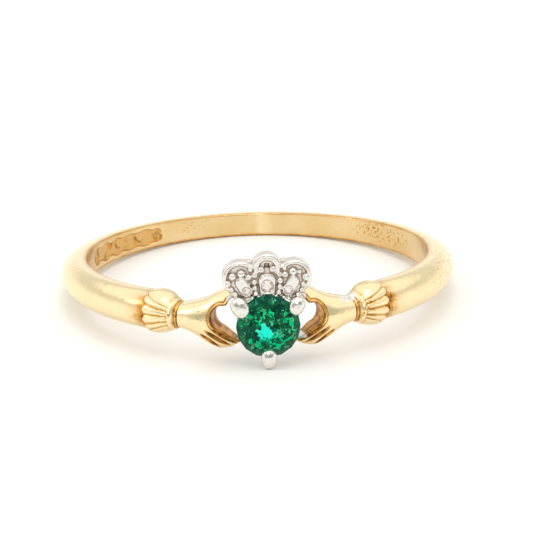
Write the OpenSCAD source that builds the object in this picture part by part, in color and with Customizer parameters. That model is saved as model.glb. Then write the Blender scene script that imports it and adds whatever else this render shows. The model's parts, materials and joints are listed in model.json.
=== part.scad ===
// Claddagh ring: two hands hold a round emerald under a crown.
// The finger's axis is Z before the ring is laid down, the head faces -Y, and +X is on the viewer's right.

/* [Band] */
// Diameter of the finger hole
finger_d = 17.35; // [15:0.05:20]
// Thickness of the band at its sides, from the finger to the top of its dome
band_thickness = 1.32; // [1.1:0.02:1.5]
// Thickness of the band at the back
band_back_thickness = 1.22; // [1:0.02:1.5]
// Height of the band at the back, along the finger
band_back_height = 1.2; // [1:0.05:1.5]
// Height of the band at its sides
band_side_height = 1.6; // [1.3:0.05:1.8]
// Thickness of the band where its dome starts at the two edges
band_edge = 0.34; // [0.2:0.02:0.5]

/* [Hands] */
// Distance along the band from the middle of the head to the outer edge of a cuff
arm_length = 6.46; // [6.2:0.05:6.8]
// Depth of the lowest finger below the middle of the band
hand_drop = 1.56; // [1.4:0.02:1.7]
// Height of the tip of the thumb above the middle of the band
thumb_rise = 1.42; // [1.3:0.02:1.5]
// Thickness of the back of a hand
hand_thickness = 1.26; // [1.1:0.02:1.4]
// Height of a cuff, along the finger
cuff_height = 2.12; // [1.9:0.02:2.3]
// Thickness of a cuff
cuff_thickness = 1.38; // [1.3:0.02:1.6]
// Number of pleats across a cuff
pleats = 6; // [4:1:8]
// Depth of the folds between the pleats
pleat_depth = 0.1; // [0.04:0.01:0.16]
// How far the round ends of the pleats stand out past the folds
scallop = 0.16; // [0:0.02:0.3]
// Width of the rounded outer edge of a cuff
cuff_edge = 0.1; // [0.08:0.01:0.16]
// Depth of the grooves between the fingers
groove_depth = 0.15; // [0.06:0.01:0.2]
// Width of the grooves between the fingers
groove_w = 0.2; // [0.12:0.02:0.3]
// Depth of the two grooves round a wrist
wrist_groove_depth = 0.09; // [0.04:0.01:0.14]
// Width of one groove round a wrist
wrist_groove_w = 0.12; // [0.08:0.01:0.16]

/* [Panel inside the band] */
// Length of the sunk panel inside the band
panel_length = 5.9; // [3:0.1:8]
// Height of the sunk panel
panel_height = 0.78; // [0.4:0.02:0.9]
// Place of the middle of the panel: the angle from +X, with the back of the band at 90
panel_place = 143; // [130:1:150]
// Depth of the sunk panel
panel_depth = 0.05; // [0.02:0.01:0.12]

/* [Emerald] */
// Diameter of the emerald
emerald_d = 3.1; // [2.8:0.02:3.2]
// Distance of the emerald's centre below the middle of the band
emerald_drop = 0.2; // [0.1:0.02:0.3]
// Distance from the finger hole to the point of the emerald
emerald_lift = 0.14; // [0.1:0.02:0.3]

/* [Crown] */
// Width of the crown
crown_w = 4.28; // [4.1:0.02:4.5]
// Height of the top of the crown above the middle of the band
crown_rise = 3.36; // [3.2:0.02:3.6]
// Diameter of the top lobe
lobe_d = 1.46; // [1.36:0.02:1.54]
// Diameter of each side lobe
side_lobe_d = 1.7; // [1.6:0.02:1.8]
// Drop from the top of the crown to the tops of its side lobes
shoulder_drop = 0.34; // [0.28:0.02:0.42]
// Distance from the finger hole to the back of the crown
crown_lift = 0.72; // [0.6:0.02:0.9]
// Thickness of the crown's back plate
crown_plate = 0.6; // [0.45:0.05:0.8]
// How far the crown's rim and stone plates stand out from its back plate
crown_relief = 0.24; // [0.14:0.02:0.34]
// Width of the crown's rim
rim_w = 0.2; // [0.14:0.02:0.28]
// Diameter of a large bead of the crown
bead_d = 0.36; // [0.28:0.02:0.42]
// Diameter of the middle diamond
middle_diamond_d = 0.6; // [0.5:0.02:0.66]
// Diameter of each side diamond
side_diamond_d = 0.42; // [0.34:0.02:0.46]
// Width of the metal round the middle diamond
plate_rim = 0.11; // [0.08:0.01:0.14]

/* [Claws and basket] */
// Width of a claw's tip
claw_w = 0.84; // [0.7:0.02:0.92]
// Length of a claw's tip
claw_length = 1; // [0.9:0.02:1.1]
// Angle of the two upper claws above the horizontal
claw_angle = 35; // [30:1:38]
// Diameter of the wire ring under the emerald
basket_d = 2.3; // [2.1:0.05:2.5]
// Thickness of the wire ring under the emerald
basket_wire = 0.4; // [0.3:0.02:0.5]
// Distance from the finger hole to the back of the basket
basket_lift = 0.08; // [0.06:0.01:0.14]
// Clearance round a stone in its setting
stone_gap = 0.02; // [0.01:0.005:0.04]
// Clearance at the solder joints between the two metals
solder_gap = 0.08; // [0.05:0.01:0.12]

/* [Hidden] */

// Proportions of a round brilliant, as shares of its diameter
TABLE_SHARE = 0.56;
CROWN_SHARE = 0.15;
GIRDLE_SHARE = 0.025;
PAVILION_SHARE = 0.43;
// Reach of the star facets on the crown and of the main facets under the girdle, as shares of its radius
STAR_SHARE = 0.8;
LOWER_SHARE = 0.25;

finger_r = finger_d / 2;
face_r = finger_r + band_thickness;
emerald_r = emerald_d / 2;
emerald_z = -emerald_drop;
// Distance of the emerald's girdle from the finger's axis
girdle_out = finger_r + emerald_lift + PAVILION_SHARE * emerald_d;
crown_back = finger_r + crown_lift;
crown_face = crown_back + crown_plate;
crown_front = crown_face + crown_relief;
lobe_r = lobe_d / 2;
lobe_top_z = crown_rise - lobe_r;
side_lobe_r = side_lobe_d / 2;
lobe_side_x = crown_w / 2 - side_lobe_r;
lobe_side_z = crown_rise - shoulder_drop - side_lobe_r;
crown_foot_x = 0.78 * crown_w / 2;
crown_foot_z = emerald_z + 0.83 * emerald_r;
crown_corner_z = emerald_z + 0.91 * emerald_r;
bead_r = bead_d / 2;
claw_reach = emerald_r + 0.06 * claw_length;
basket_back = finger_r + basket_lift;
cuff_angle = arc_angle(arm_length);

// The ring leans on its lowest claw and on the back of the band
claw_low_z = emerald_z - claw_reach - claw_length / 2;
rest_pitch = atan((-claw_low_z - band_back_height / 2) / (finger_r + band_back_thickness / 2 + girdle_out));

// Smoothness of the round parts, and number of steps across the outside of the band
$fn = 48;
ACROSS = 30;
// Step of the sections along the hands and along the plain band, in degrees
FINE_STEP = 0.9;
BAND_STEP = 7.5;
// Depth that the loft reaches into the finger hole before the hole is cut
CUT = 0.3;
// Depth that a raised form reaches into the metal behind it, and how far a cut runs past a surface
EMBED = 0.05;
PAST = 1;

function arc_angle(length) = length / face_r * 180 / PI;
function arc_length(angle) = angle * face_r * PI / 180;
function mix(a, b, t) = a + (b - a) * t;
function clamp(t) = max(0, min(1, t));
function ease(t) = let (c = clamp(t)) c * c * (3 - 2 * c);

// Slope of column c of a table at row i, from the rows on both sides of it
function slope(table, c, i) =
    let (a = max(i - 1, 0), b = min(i + 1, len(table) - 1))
    (table[b][c] - table[a][c]) / (table[b][0] - table[a][0]);

// Smooth curve through column c of a table whose first column is the position
function curve(table, c, at, i = 0) =
    at <= table[0][0] ? table[0][c] :
    at >= table[len(table) - 1][0] ? table[len(table) - 1][c] :
    at > table[i + 1][0] ? curve(table, c, at, i + 1) :
    let (w = table[i + 1][0] - table[i][0], t = (at - table[i][0]) / w, m = ease(t))
    mix(table[i][c], table[i + 1][c], m)
    + w * (t * (1 - t) * (1 - t) * slope(table, c, i) - t * t * (1 - t) * slope(table, c, i + 1));

// Sections of a hand, its wrist and its cuff
// Columns: distance along the arm, lower edge, upper edge, thickness
ARM = [
    [0.155 * arm_length, -0.84 * hand_drop, 1.00 * thumb_rise, 0.78 * hand_thickness],
    [0.21 * arm_length, -0.80 * hand_drop, 1.00 * thumb_rise, 0.88 * hand_thickness],
    [0.295 * arm_length, -0.96 * hand_drop, 0.98 * thumb_rise, 0.95 * hand_thickness],
    [0.39 * arm_length, -1.00 * hand_drop, 0.85 * thumb_rise, 1.00 * hand_thickness],
    [0.505 * arm_length, -0.79 * hand_drop, 0.61 * thumb_rise, 1.00 * hand_thickness],
    [0.585 * arm_length, -0.60 * hand_drop, 0.50 * thumb_rise, 0.98 * hand_thickness],
    [0.66 * arm_length, -0.48 * hand_drop, 0.42 * thumb_rise, 0.93 * hand_thickness],
    [0.72 * arm_length, -0.45 * hand_drop, 0.38 * thumb_rise, 0.90 * hand_thickness],
    [0.765 * arm_length, -0.38 * cuff_height, 0.33 * cuff_height, 0.92 * cuff_thickness],
    [0.82 * arm_length, -0.45 * cuff_height, 0.45 * cuff_height, 0.97 * cuff_thickness],
    [0.90 * arm_length, -0.50 * cuff_height, 0.50 * cuff_height, 1.00 * cuff_thickness],
    [0.96 * arm_length, -0.50 * cuff_height, 0.50 * cuff_height, 0.99 * cuff_thickness],
    [1.02 * arm_length, -0.46 * cuff_height, 0.47 * cuff_height, 0.96 * cuff_thickness],
];
// Grooves between the fingers, from knuckle to tip
// Columns: distance along the arm and height at the knuckle, then the same at the tip
FINGER_GROOVES = [
    [0.53 * arm_length, -0.47 * hand_drop, 0.37 * arm_length, -0.96 * hand_drop],
    [0.49 * arm_length, -0.34 * hand_drop, 0.29 * arm_length, -0.88 * hand_drop],
    [0.43 * arm_length, -0.28 * hand_drop, 0.24 * arm_length, -0.80 * hand_drop],
];
WRIST_GROOVES = [0.685 * arm_length, 0.72 * arm_length];
NECK = 0.765 * arm_length;

// Half of the band's height at an angle from the head
function band_half(a) = let (h = band_back_height, g = band_side_height - band_back_height)
    (h + g * (1 + cos(a))) / 2;
// Thickness of the band at an angle from the head
function band_thick(a) = mix(band_back_thickness, band_thickness, ease(1 + cos(a)));
// Point of the plain band: psi runs from -90 at the lower edge to 90 at the upper edge
function band_point(a, psi) =
    [finger_r + band_edge + (band_thick(a) - band_edge) * cos(psi), band_half(a) * sin(psi)];

// Depth of one finger groove at the place [u, z]: deepest at its middle, pointed at both ends
function groove_at(g, u, z) =
    let (d = [g[2] - g[0], g[3] - g[1]], p = [u - g[0], z - g[1]],
         t = (p * d) / (d * d), off = norm(p - t * d) / (groove_w / 2))
    t < 0 || t > 1 ? 0 : groove_depth * sqrt(4 * t * (1 - t)) * exp(-off * off);
function fingers_at(u, z) = max([for (g = FINGER_GROOVES) groove_at(g, u, z)]);
function wrist_at(u) = wrist_groove_depth
    * max([for (w = WRIST_GROOVES) exp(-pow((u - w) / (wrist_groove_w / 2), 2))]);
// Folds of the cuff: pointed valleys between round pleats, fading out at the neck
function pleat_wave(psi) = abs(sin((psi + 90) * pleats));
function pleats_at(u, psi) =
    pleat_depth * (1 - pleat_wave(psi)) * ease((u - NECK) / (0.06 * arm_length));

// Point of the hand, wrist or cuff
function arm_point(a, psi) =
    let (u = arc_length(a), lo = curve(ARM, 1, u), hi = curve(ARM, 2, u), t = curve(ARM, 3, u),
         z = mix(lo, hi, (1 + sin(psi)) / 2),
         dome = band_edge + (t - band_edge) * pow(max(cos(psi), 0), 0.8))
    [finger_r + dome - (fingers_at(u, z) + wrist_at(u) + pleats_at(u, psi)) * clamp(2 * cos(psi)), z];

// The cuff ends at a scalloped edge, and the band goes on under it
function cuff_share(a, psi) =
    ease((cuff_angle - arc_angle(scallop * (1 - pleat_wave(psi))) - a) / arc_angle(cuff_edge) + 0.5);
function outer_point(a, psi) = let (m = cuff_share(a, psi))
    m <= 0 ? band_point(a, psi) : m >= 1 ? arm_point(a, psi) :
    mix(band_point(a, psi), arm_point(a, psi), m);

// The free end of a hand leans from the fingertips up to the thumb, and the sections
// straighten up towards the wrist. The angle below is that of the point at height z.
finger_end = arc_angle(0.162 * arm_length);
thumb_end = arc_angle(0.275 * arm_length);
end_lean = (thumb_end - finger_end) / (thumb_rise + 0.84 * hand_drop);
hand_start = finger_end + end_lean * 0.84 * hand_drop;
function leaned(a, z) = a + z * end_lean * (1 - ease((a - hand_start) / (wrist_start - hand_start)));

function ring_point(a, psi) =
    let (at = leaned(a, outer_point(a, psi)[1])) concat(outer_point(at, psi), [at]);
function section(a) =
    let (outer = [for (j = [0 : ACROSS]) ring_point(a, -90 + 180 * j / ACROSS)],
         high = outer[ACROSS], low = outer[0])
    [for (p = concat(outer, [[finger_r - CUT, high[1], high[2]], [finger_r - CUT, low[1], low[2]]]))
        [p[0] * sin(p[2]), -p[0] * cos(p[2]), p[1]]];

// Angles of the sections on one side: fine on the hand, finer at the wrist and the cuff's edge
wrist_start = arc_angle(0.66 * arm_length);
wrist_end = arc_angle(0.75 * arm_length);
edge_start = cuff_angle - arc_angle(scallop + cuff_edge);
edge_end = cuff_angle + arc_angle(0.8 * cuff_edge);
function steps(from, to, step) = let (n = ceil((to - from) / step))
    [for (i = [0 : n - 1]) mix(from, to, i / n)];
SIDE = concat(
    steps(hand_start, wrist_start, FINE_STEP),
    steps(wrist_start, wrist_end, FINE_STEP / 3),
    steps(wrist_end, edge_start, FINE_STEP),
    steps(edge_start, edge_end, FINE_STEP / 3),
    steps(edge_end, 180, BAND_STEP));

// Closed loft through rings of points, with flat ends. The short diagonals of its faces
// run along the fingers on both sides of the ring.
module loft(rings) {
    n = len(rings[0]);
    m = len(rings);
    points = [for (r = rings) each r];
    sides = [for (i = [0 : m - 2], j = [0 : n - 1])
        let (a = i * n + j, b = i * n + (j + 1) % n)
        each (i < m / 2 ? [[a, b, b + n], [a, b + n, a + n]] : [[a, b, a + n], [b, b + n, a + n]])];
    polyhedron(points, concat(sides,
        [[for (j = [n - 1 : -1 : 0]) j]], [[for (j = [0 : n - 1]) (m - 1) * n + j]]));
}

// Places a flat shape in front of the head, between two distances from the finger's axis
module on_head(from, to) {
    rotate([90, 0, 0]) translate([0, 0, from]) linear_extrude(to - from) children();
}
// Places a solid in front of the head, at a distance from the finger's axis, facing outwards
module at_head(x, z, out) {
    rotate([90, 0, 0]) translate([x, z, out]) children();
}
module laid_down() {
    rotate([-rest_pitch, 0, 0]) children();
}
module both_sides() {
    children();
    mirror([1, 0, 0]) children();
}

// Space between the thumb and the fingers, with the free ends of both trimmed to the head
module hand_gap() {
    web_x = 0.335 * arm_length;
    web_z = 0.056 * thumb_rise;
    web_r = 0.4 * hand_drop;
    translate([web_x, web_z]) circle(web_r);
    polygon([
        [web_x, web_z + web_r], [0.29 * arm_length, 0.64 * thumb_rise],
        [crown_foot_x + 1.6 * solder_gap, 0.7 * thumb_rise],
        [crown_foot_x + solder_gap, crown_corner_z], [crown_w / 2 + solder_gap, lobe_side_z],
        [0, lobe_side_z], [0, -0.5 * hand_drop], [0.14 * arm_length, -0.62 * hand_drop],
        [0.215 * arm_length, -0.74 * hand_drop], [web_x + 0.2 * web_r, web_z - 0.98 * web_r],
    ]);
}

module sunk_panel() {
    angle = panel_length / finger_r * 180 / PI;
    rotate([0, 0, panel_place - angle / 2]) rotate_extrude(angle = angle)
        translate([finger_r - CUT, -panel_height / 2]) square([CUT + panel_depth, panel_height]);
}

module band_with_hands() {
    right = [for (a = SIDE) section(a)];
    left = [for (i = [len(SIDE) - 1 : -1 : 0]) [for (p = section(SIDE[i])) [-p[0], p[1], p[2]]]];
    color([0.87, 0.68, 0.33]) laid_down() difference() {
        loft(concat(right, [section(180)], left));
        translate([0, 0, -3 * crown_rise]) cylinder(r = finger_r, h = 6 * crown_rise);
        both_sides() on_head(finger_r - PAST, crown_front + PAST) hand_gap();
        sunk_panel();
    }
}

// Height and depth, as shares of the diameter, that keep the kite facets flat
function star_height() = CROWN_SHARE * (1 - STAR_SHARE * cos(22.5)) / (1 - TABLE_SHARE);
function lower_depth() = PAVILION_SHARE * (1 - LOWER_SHARE * cos(22.5));

// Round brilliant: eight-sided table, star, kite and girdle facets, and a pointed pavilion
module brilliant(d) {
    r = d / 2;
    top = GIRDLE_SHARE * d / 2;
    function at(share, step, z) = [share * r * cos(22.5 * step), share * r * sin(22.5 * step), z];
    points = concat(
        [for (k = [0 : 7]) at(TABLE_SHARE, 2 * k, top + CROWN_SHARE * d)],
        [for (k = [0 : 7]) at(STAR_SHARE, 2 * k + 1, top + star_height() * d)],
        [for (k = [0 : 15]) at(1, k, top)],
        [for (k = [0 : 15]) at(1, k, -top)],
        [for (k = [0 : 7]) at(LOWER_SHARE, 2 * k + 1, -top - lower_depth() * d)],
        [[0, 0, -top - PAVILION_SHARE * d]]);
    S = 8;
    G = 16;
    B = 32;
    L = 48;
    faces = concat(
        [[for (k = [7 : -1 : 0]) k]],
        [for (k = [0 : 7]) let (n = (k + 1) % 8, g = 2 * k, h = 2 * n)
            each [[k, n, S + k], [k, S + k, G + g], [n, G + h, S + k],
                  [S + k, G + g + 1, G + g], [S + k, G + h, G + g + 1],
                  [L + k, B + g, B + g + 1], [L + k, B + g + 1, B + h],
                  [L + 8, B + g, L + k], [L + 8, L + k, B + h]]],
        [for (k = [0 : 15]) let (n = (k + 1) % 16) each [[G + k, G + n, B + n], [G + k, B + n, B + k]]]);
    polyhedron(points, faces);
}

// Space that a brilliant needs in its setting
module brilliant_seat(d) {
    r = d / 2;
    g = stone_gap;
    top = GIRDLE_SHARE * d / 2;
    rotate_extrude() polygon([
        [0, -top - PAVILION_SHARE * d - 2 * g], [LOWER_SHARE * r + g, -top - lower_depth() * d - g],
        [r + g, -top - g], [r + g, top + g], [STAR_SHARE * r + g, top + star_height() * d + g],
        [TABLE_SHARE * r + g, top + CROWN_SHARE * d + g], [0, top + CROWN_SHARE * d + g],
    ]);
}

module emerald() {
    color([0.02, 0.42, 0.24]) laid_down() at_head(0, emerald_z, girdle_out) brilliant(emerald_d);
}

// Outline of the crown, drawn in by an inset all round
module crown_outline(inset) {
    side = side_lobe_r - inset;
    translate([0, lobe_top_z]) circle(lobe_r - inset);
    for (s = [-1, 1]) translate([s * lobe_side_x, lobe_side_z]) circle(side);
    polygon([
        [-lobe_side_x - side, lobe_side_z], [-crown_foot_x + inset, crown_corner_z + inset],
        [-0.7 * crown_foot_x, crown_foot_z + inset], [0.7 * crown_foot_x, crown_foot_z + inset],
        [crown_foot_x - inset, crown_corner_z + inset], [lobe_side_x + side, lobe_side_z],
        [lobe_side_x, lobe_side_z + 0.9 * side], [0, lobe_top_z], [-lobe_side_x, lobe_side_z + 0.9 * side],
    ]);
}

// Places of the diamonds, and the outlines of the raised plates that hold them
plate_z = mix(crown_foot_z, lobe_side_z, 0.65);
plate_tilt = 31;
middle_half = middle_diamond_d / 2 + plate_rim;
side_half = side_diamond_d / 2 + 0.55 * plate_rim;
side_plate = [0.87 * lobe_side_x, plate_z - 0.02 * side_lobe_r];
side_seat = side_plate - 0.9 * side_half * [sin(plate_tilt), cos(plate_tilt)];
seat_out = crown_front - 0.4 * crown_relief;

module middle_plate() {
    polygon([for (p = [[0.8, -1.02], [1, 0.85], [0.55, 1.4], [-0.55, 1.4], [-1, 0.85], [-0.8, -1.02]])
        [p[0] * middle_half, plate_z + p[1] * middle_half]]);
}
module side_plate() {
    translate(side_plate) rotate(-plate_tilt) {
        translate([-side_half, -0.9 * side_half]) square([2 * side_half, 1.8 * side_half]);
        translate([0, -0.9 * side_half]) circle(side_half);
        translate([0, 0.9 * side_half]) circle(side_half);
    }
}

// Beads of the crown's right half
// Columns: distance from the middle, height, size; shares of the crown's half width, rise and bead
BEADS = [
    [0.14, 0.775, 0.85],
    [0.40, 0.675, 0.8], [0.58, 0.73, 1.0], [0.82, 0.66, 1.0],
    [0.28, 0.68, 0.75], [0.28, 0.59, 0.8], [0.28, 0.50, 0.75], [0.26, 0.415, 0.7],
    [0.83, 0.525, 0.8], [0.795, 0.445, 0.7],
];

// Low webs that fill the notches between the lobes
module notch_webs() {
    web_r = 0.42 * side_lobe_r;
    both_sides() translate([0.67 * lobe_side_x, lobe_side_z + side_lobe_r - 1.14 * web_r]) circle(web_r);
}

// Deep slot between the two beads of the top lobe
module top_slot() {
    translate([-0.22 * lobe_r, lobe_top_z - 0.49 * lobe_r]) square([0.44 * lobe_r, 0.68 * lobe_r]);
}

module crown() {
    difference() {
        union() {
            on_head(crown_back, crown_face) crown_outline(0);
            on_head(crown_back, mix(crown_back, crown_face, 0.7)) notch_webs();
            on_head(crown_face - EMBED, crown_front) {
                difference() {
                    crown_outline(0);
                    crown_outline(rim_w);
                    translate([-crown_foot_x, 0]) square([2 * crown_foot_x, lobe_side_z - 0.2 * side_lobe_r]);
                }
                middle_plate();
                both_sides() side_plate();
            }
            both_sides() for (b = BEADS)
                at_head(b[0] * crown_w / 2, b[1] * crown_rise, crown_face + 0.3 * bead_r)
                    sphere(b[2] * bead_r);
        }
        on_head(crown_back + crown_plate / 3, crown_front + PAST) top_slot();
        at_head(0, plate_z, seat_out) brilliant_seat(middle_diamond_d);
        both_sides() at_head(side_seat[0], side_seat[1], seat_out) brilliant_seat(side_diamond_d);
    }
}

// One claw: a tapered wire from the basket and a polished drop over the edge of the emerald
module claw(angle) {
    foot = (basket_d - basket_wire) / 2;
    low = basket_back + basket_wire / 2;
    high = girdle_out + 0.1 * claw_length;
    lean = atan((claw_reach - foot) / (high - low));
    wire = norm([claw_reach - foot, high - low]);
    rotate([90, 0, 0]) translate([0, emerald_z, 0]) rotate([0, 0, angle]) {
        translate([foot, 0, low]) rotate([0, lean, 0])
            cylinder(h = wire, r1 = basket_wire / 2, r2 = 0.35 * claw_w);
        translate([claw_reach, 0, high]) scale([claw_length, claw_w, 0.72 * claw_length]) sphere(d = 1);
    }
}

// Wire ring under the emerald, and the bar behind the emerald that carries the crown
module basket() {
    bar = 1.6 * basket_wire;
    bar_foot_z = emerald_z + basket_d / 2 - basket_wire;
    at_head(0, emerald_z, basket_back) difference() {
        cylinder(h = basket_wire, d = basket_d);
        translate([0, 0, -PAST]) cylinder(h = basket_wire + 2 * PAST, d = basket_d - 2 * basket_wire);
    }
    on_head(basket_back, crown_back + EMBED) translate([-bar / 2, bar_foot_z])
        square([bar, crown_foot_z + basket_wire - bar_foot_z]);
}

module crown_setting() {
    color([0.86, 0.86, 0.88]) laid_down() difference() {
        union() {
            crown();
            basket();
            for (angle = [claw_angle, 180 - claw_angle, -90]) claw(angle);
        }
        at_head(0, emerald_z, girdle_out) brilliant_seat(emerald_d);
    }
}

module crown_diamond_centre() {
    color([0.9, 0.93, 0.97]) laid_down() at_head(0, plate_z, seat_out) brilliant(middle_diamond_d);
}
module crown_diamond_right() {
    color([0.9, 0.93, 0.97]) laid_down()
        at_head(side_seat[0], side_seat[1], seat_out) brilliant(side_diamond_d);
}
module crown_diamond_left() {
    color([0.9, 0.93, 0.97]) laid_down()
        at_head(-side_seat[0], side_seat[1], seat_out) brilliant(side_diamond_d);
}

band_with_hands();
crown_setting();
emerald();
crown_diamond_left();
crown_diamond_centre();
crown_diamond_right();
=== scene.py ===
"""Claddagh ring on a pale studio floor.

The file is laid out as an add-on and is run as a script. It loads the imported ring, replaces its two
castings by surfaces with the finer forms of the worn ring, and gives every piece its finish.
All lengths are metres. A place on the ring is an angle round the finger, from the middle of the head
towards the viewer's right, a height along the finger and a distance from the finger's axis.
"""

import json
import math
from types import SimpleNamespace

import bmesh
import bpy
import numpy as np
from mathutils import Matrix, Vector


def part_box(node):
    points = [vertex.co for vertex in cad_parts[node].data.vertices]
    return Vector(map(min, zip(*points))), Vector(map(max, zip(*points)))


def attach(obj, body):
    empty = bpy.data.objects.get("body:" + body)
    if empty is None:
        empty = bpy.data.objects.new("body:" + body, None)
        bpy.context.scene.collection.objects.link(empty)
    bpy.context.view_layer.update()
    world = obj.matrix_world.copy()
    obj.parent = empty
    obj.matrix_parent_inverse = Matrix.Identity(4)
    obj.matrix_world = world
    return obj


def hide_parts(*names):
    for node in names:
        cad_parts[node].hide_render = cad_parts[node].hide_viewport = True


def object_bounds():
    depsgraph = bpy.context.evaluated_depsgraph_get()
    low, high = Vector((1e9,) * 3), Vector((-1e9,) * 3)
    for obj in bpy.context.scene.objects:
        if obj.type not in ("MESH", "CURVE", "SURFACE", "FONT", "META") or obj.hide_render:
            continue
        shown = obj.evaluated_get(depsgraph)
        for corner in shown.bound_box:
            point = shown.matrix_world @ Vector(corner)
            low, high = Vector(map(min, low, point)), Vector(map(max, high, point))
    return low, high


bl_info = {
    "name": "Claddagh ring",
    "version": (1, 0, 0),
    "blender": (4, 5, 0),
    "location": "View3D > Sidebar > Ring",
    "description": "Builds a worn gold claddagh ring with an emerald, and the floor and light round it",
    "category": "Add Mesh",
}

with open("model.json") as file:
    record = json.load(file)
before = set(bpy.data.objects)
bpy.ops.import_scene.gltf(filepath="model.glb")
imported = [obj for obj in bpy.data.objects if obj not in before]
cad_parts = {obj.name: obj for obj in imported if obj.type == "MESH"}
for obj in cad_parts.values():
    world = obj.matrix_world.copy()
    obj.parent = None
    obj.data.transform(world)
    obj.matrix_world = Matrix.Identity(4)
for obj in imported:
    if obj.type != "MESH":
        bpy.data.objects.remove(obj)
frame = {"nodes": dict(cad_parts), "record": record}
CAD_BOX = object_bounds()

MM = 0.001
HOLE = frame["record"]["mounts"][0]
FINGER_R = HOLE["dims"]["r_mm"] * MM
# The ring leans on its lowest claw, so the finger's axis leans back from the vertical
LEAN = math.atan2(HOLE["axis"][1], HOLE["axis"][2])
EMERALD_R = (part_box("emerald")[1].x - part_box("emerald")[0].x) / 2
CROWN_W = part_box("crown_setting")[1].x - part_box("crown_setting")[0].x


def length(name, description, default):
    """Property for a length in metres."""
    return bpy.props.FloatProperty(
        name=name, description=description, default=default, min=0.0, precision=5, unit="LENGTH",
        subtype="DISTANCE")


def degrees(name, description, default):
    """Property for an angle, with its default in degrees."""
    return bpy.props.FloatProperty(
        name=name, description=description, default=math.radians(default), subtype="ANGLE")


def tint(name, description, default):
    """Property for a colour."""
    return bpy.props.FloatVectorProperty(
        name=name, description=description, default=default, size=3, min=0.0, max=1.0, subtype="COLOR")


class GoldCastingSizes(bpy.types.PropertyGroup):
    """Sizes of the yellow gold band, cuffs and hands"""

    thickness: length("Band thickness", "From the finger to the top of the dome, at the sides", 1.309 * MM)
    back_thickness: length("Thickness at the back", "Thickness of the band at the back", 1.219 * MM)
    back_height: length("Height at the back", "Height of the band at the back", 1.2 * MM)
    side_height: length("Height at the sides", "Height of the band at its sides", 1.6 * MM)
    edge: length("Edge", "Thickness of the band where its dome starts", 0.34 * MM)
    corner: length("Inner corner", "Radius of the worn corners of the finger hole", 0.07 * MM)
    arm: length("Arm", "From the middle of the head to the outer edge of a cuff", 6.46 * MM)
    hand_drop: length("Lowest finger", "Depth of the lowest finger below the middle of the band", 1.56 * MM)
    thumb_rise: length("Thumb", "Height of the thumb above the middle of the band", 1.42 * MM)
    hand_thickness: length("Hand", "Thickness of the back of a hand", 1.26 * MM)
    cuff_height: length("Cuff height", "Height of a cuff", 2.12 * MM)
    cuff_thickness: length("Cuff thickness", "Thickness of a cuff", 1.38 * MM)
    scallop: length("Scallop", "How far the round ends of the pleats stand out past the folds", 0.16 * MM)
    cuff_edge: length("Cuff edge", "Width of the rounded outer edge of a cuff", 0.1 * MM)
    pleats: bpy.props.IntProperty(name="Pleats", description="Pleats across a cuff", default=6, min=3, max=9)
    pleat_depth: length("Pleat depth", "Depth of the folds between the pleats", 0.12 * MM)
    ring_rise: length("Neck ring", "Height of the crescent round the neck of a cuff", 0.06 * MM)
    groove_depth: length("Groove depth", "Depth of the grooves between the fingers", 0.15 * MM)
    groove: length("Groove", "Width of the grooves between the fingers", 0.2 * MM)
    wrist_depth: length("Wrist groove depth", "Depth of the two grooves round a wrist", 0.09 * MM)
    wrist_groove: length("Wrist groove", "Width of one groove round a wrist", 0.08 * MM)
    notch_round: length("Notch edge", "Width of the bevel round the gap between thumb and fingers", 0.13 * MM)
    panel: length("Panel", "Length of the sunk panel inside the band", 5.9 * MM)
    panel_height: length("Panel height", "Height of the sunk panel", 0.78 * MM)
    panel_depth: length("Panel depth", "Depth of the sunk panel", 0.09 * MM)


class HeadSizes(bpy.types.PropertyGroup):
    """Sizes of the white gold crown, claws and basket"""

    emerald_drop: length("Emerald drop", "Emerald's centre below the middle of the band", 0.2 * MM)
    emerald_lift: length("Emerald lift", "From the finger hole to the point of the emerald", 0.14 * MM)
    crown_rise: length("Crown rise", "Top of the crown above the middle of the band", 3.36 * MM)
    lobe: length("Top lobe", "Diameter of the crown's top lobe", 1.46 * MM)
    side_lobe: length("Side lobe", "Diameter of each side lobe", 1.7 * MM)
    shoulder_drop: length("Shoulder", "Drop from the crown's top to the tops of its side lobes", 0.34 * MM)
    crown_lift: length("Crown lift", "From the finger hole to the back of the crown", 0.72 * MM)
    crown_plate: length("Crown plate", "Thickness of the crown's back plate", 0.6 * MM)
    crown_relief: length("Relief", "How far rim and stone plates stand out from the back plate", 0.24 * MM)
    rim: length("Rim", "Width of the crown's rim", 0.2 * MM)
    middle_diamond: length("Middle diamond", "Diameter of the middle diamond", 0.6 * MM)
    side_diamond: length("Side diamond", "Diameter of each side diamond", 0.42 * MM)
    plate_rim: length("Plate rim", "Width of the metal round the middle diamond", 0.11 * MM)
    claw_depth: length("Claw depth", "Depth of a claw's tip from front to back", 0.72 * MM)
    claw_lift: length("Claw lift", "From the emerald's girdle to the middle of a claw's tip", 0.1 * MM)
    basket: length("Basket", "Diameter of the wire ring under the emerald", 2.3 * MM)
    wire: length("Wire", "Thickness of the wire ring under the emerald", 0.4 * MM)
    basket_lift: length("Basket lift", "From the finger hole to the back of the basket", 0.08 * MM)


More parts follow.
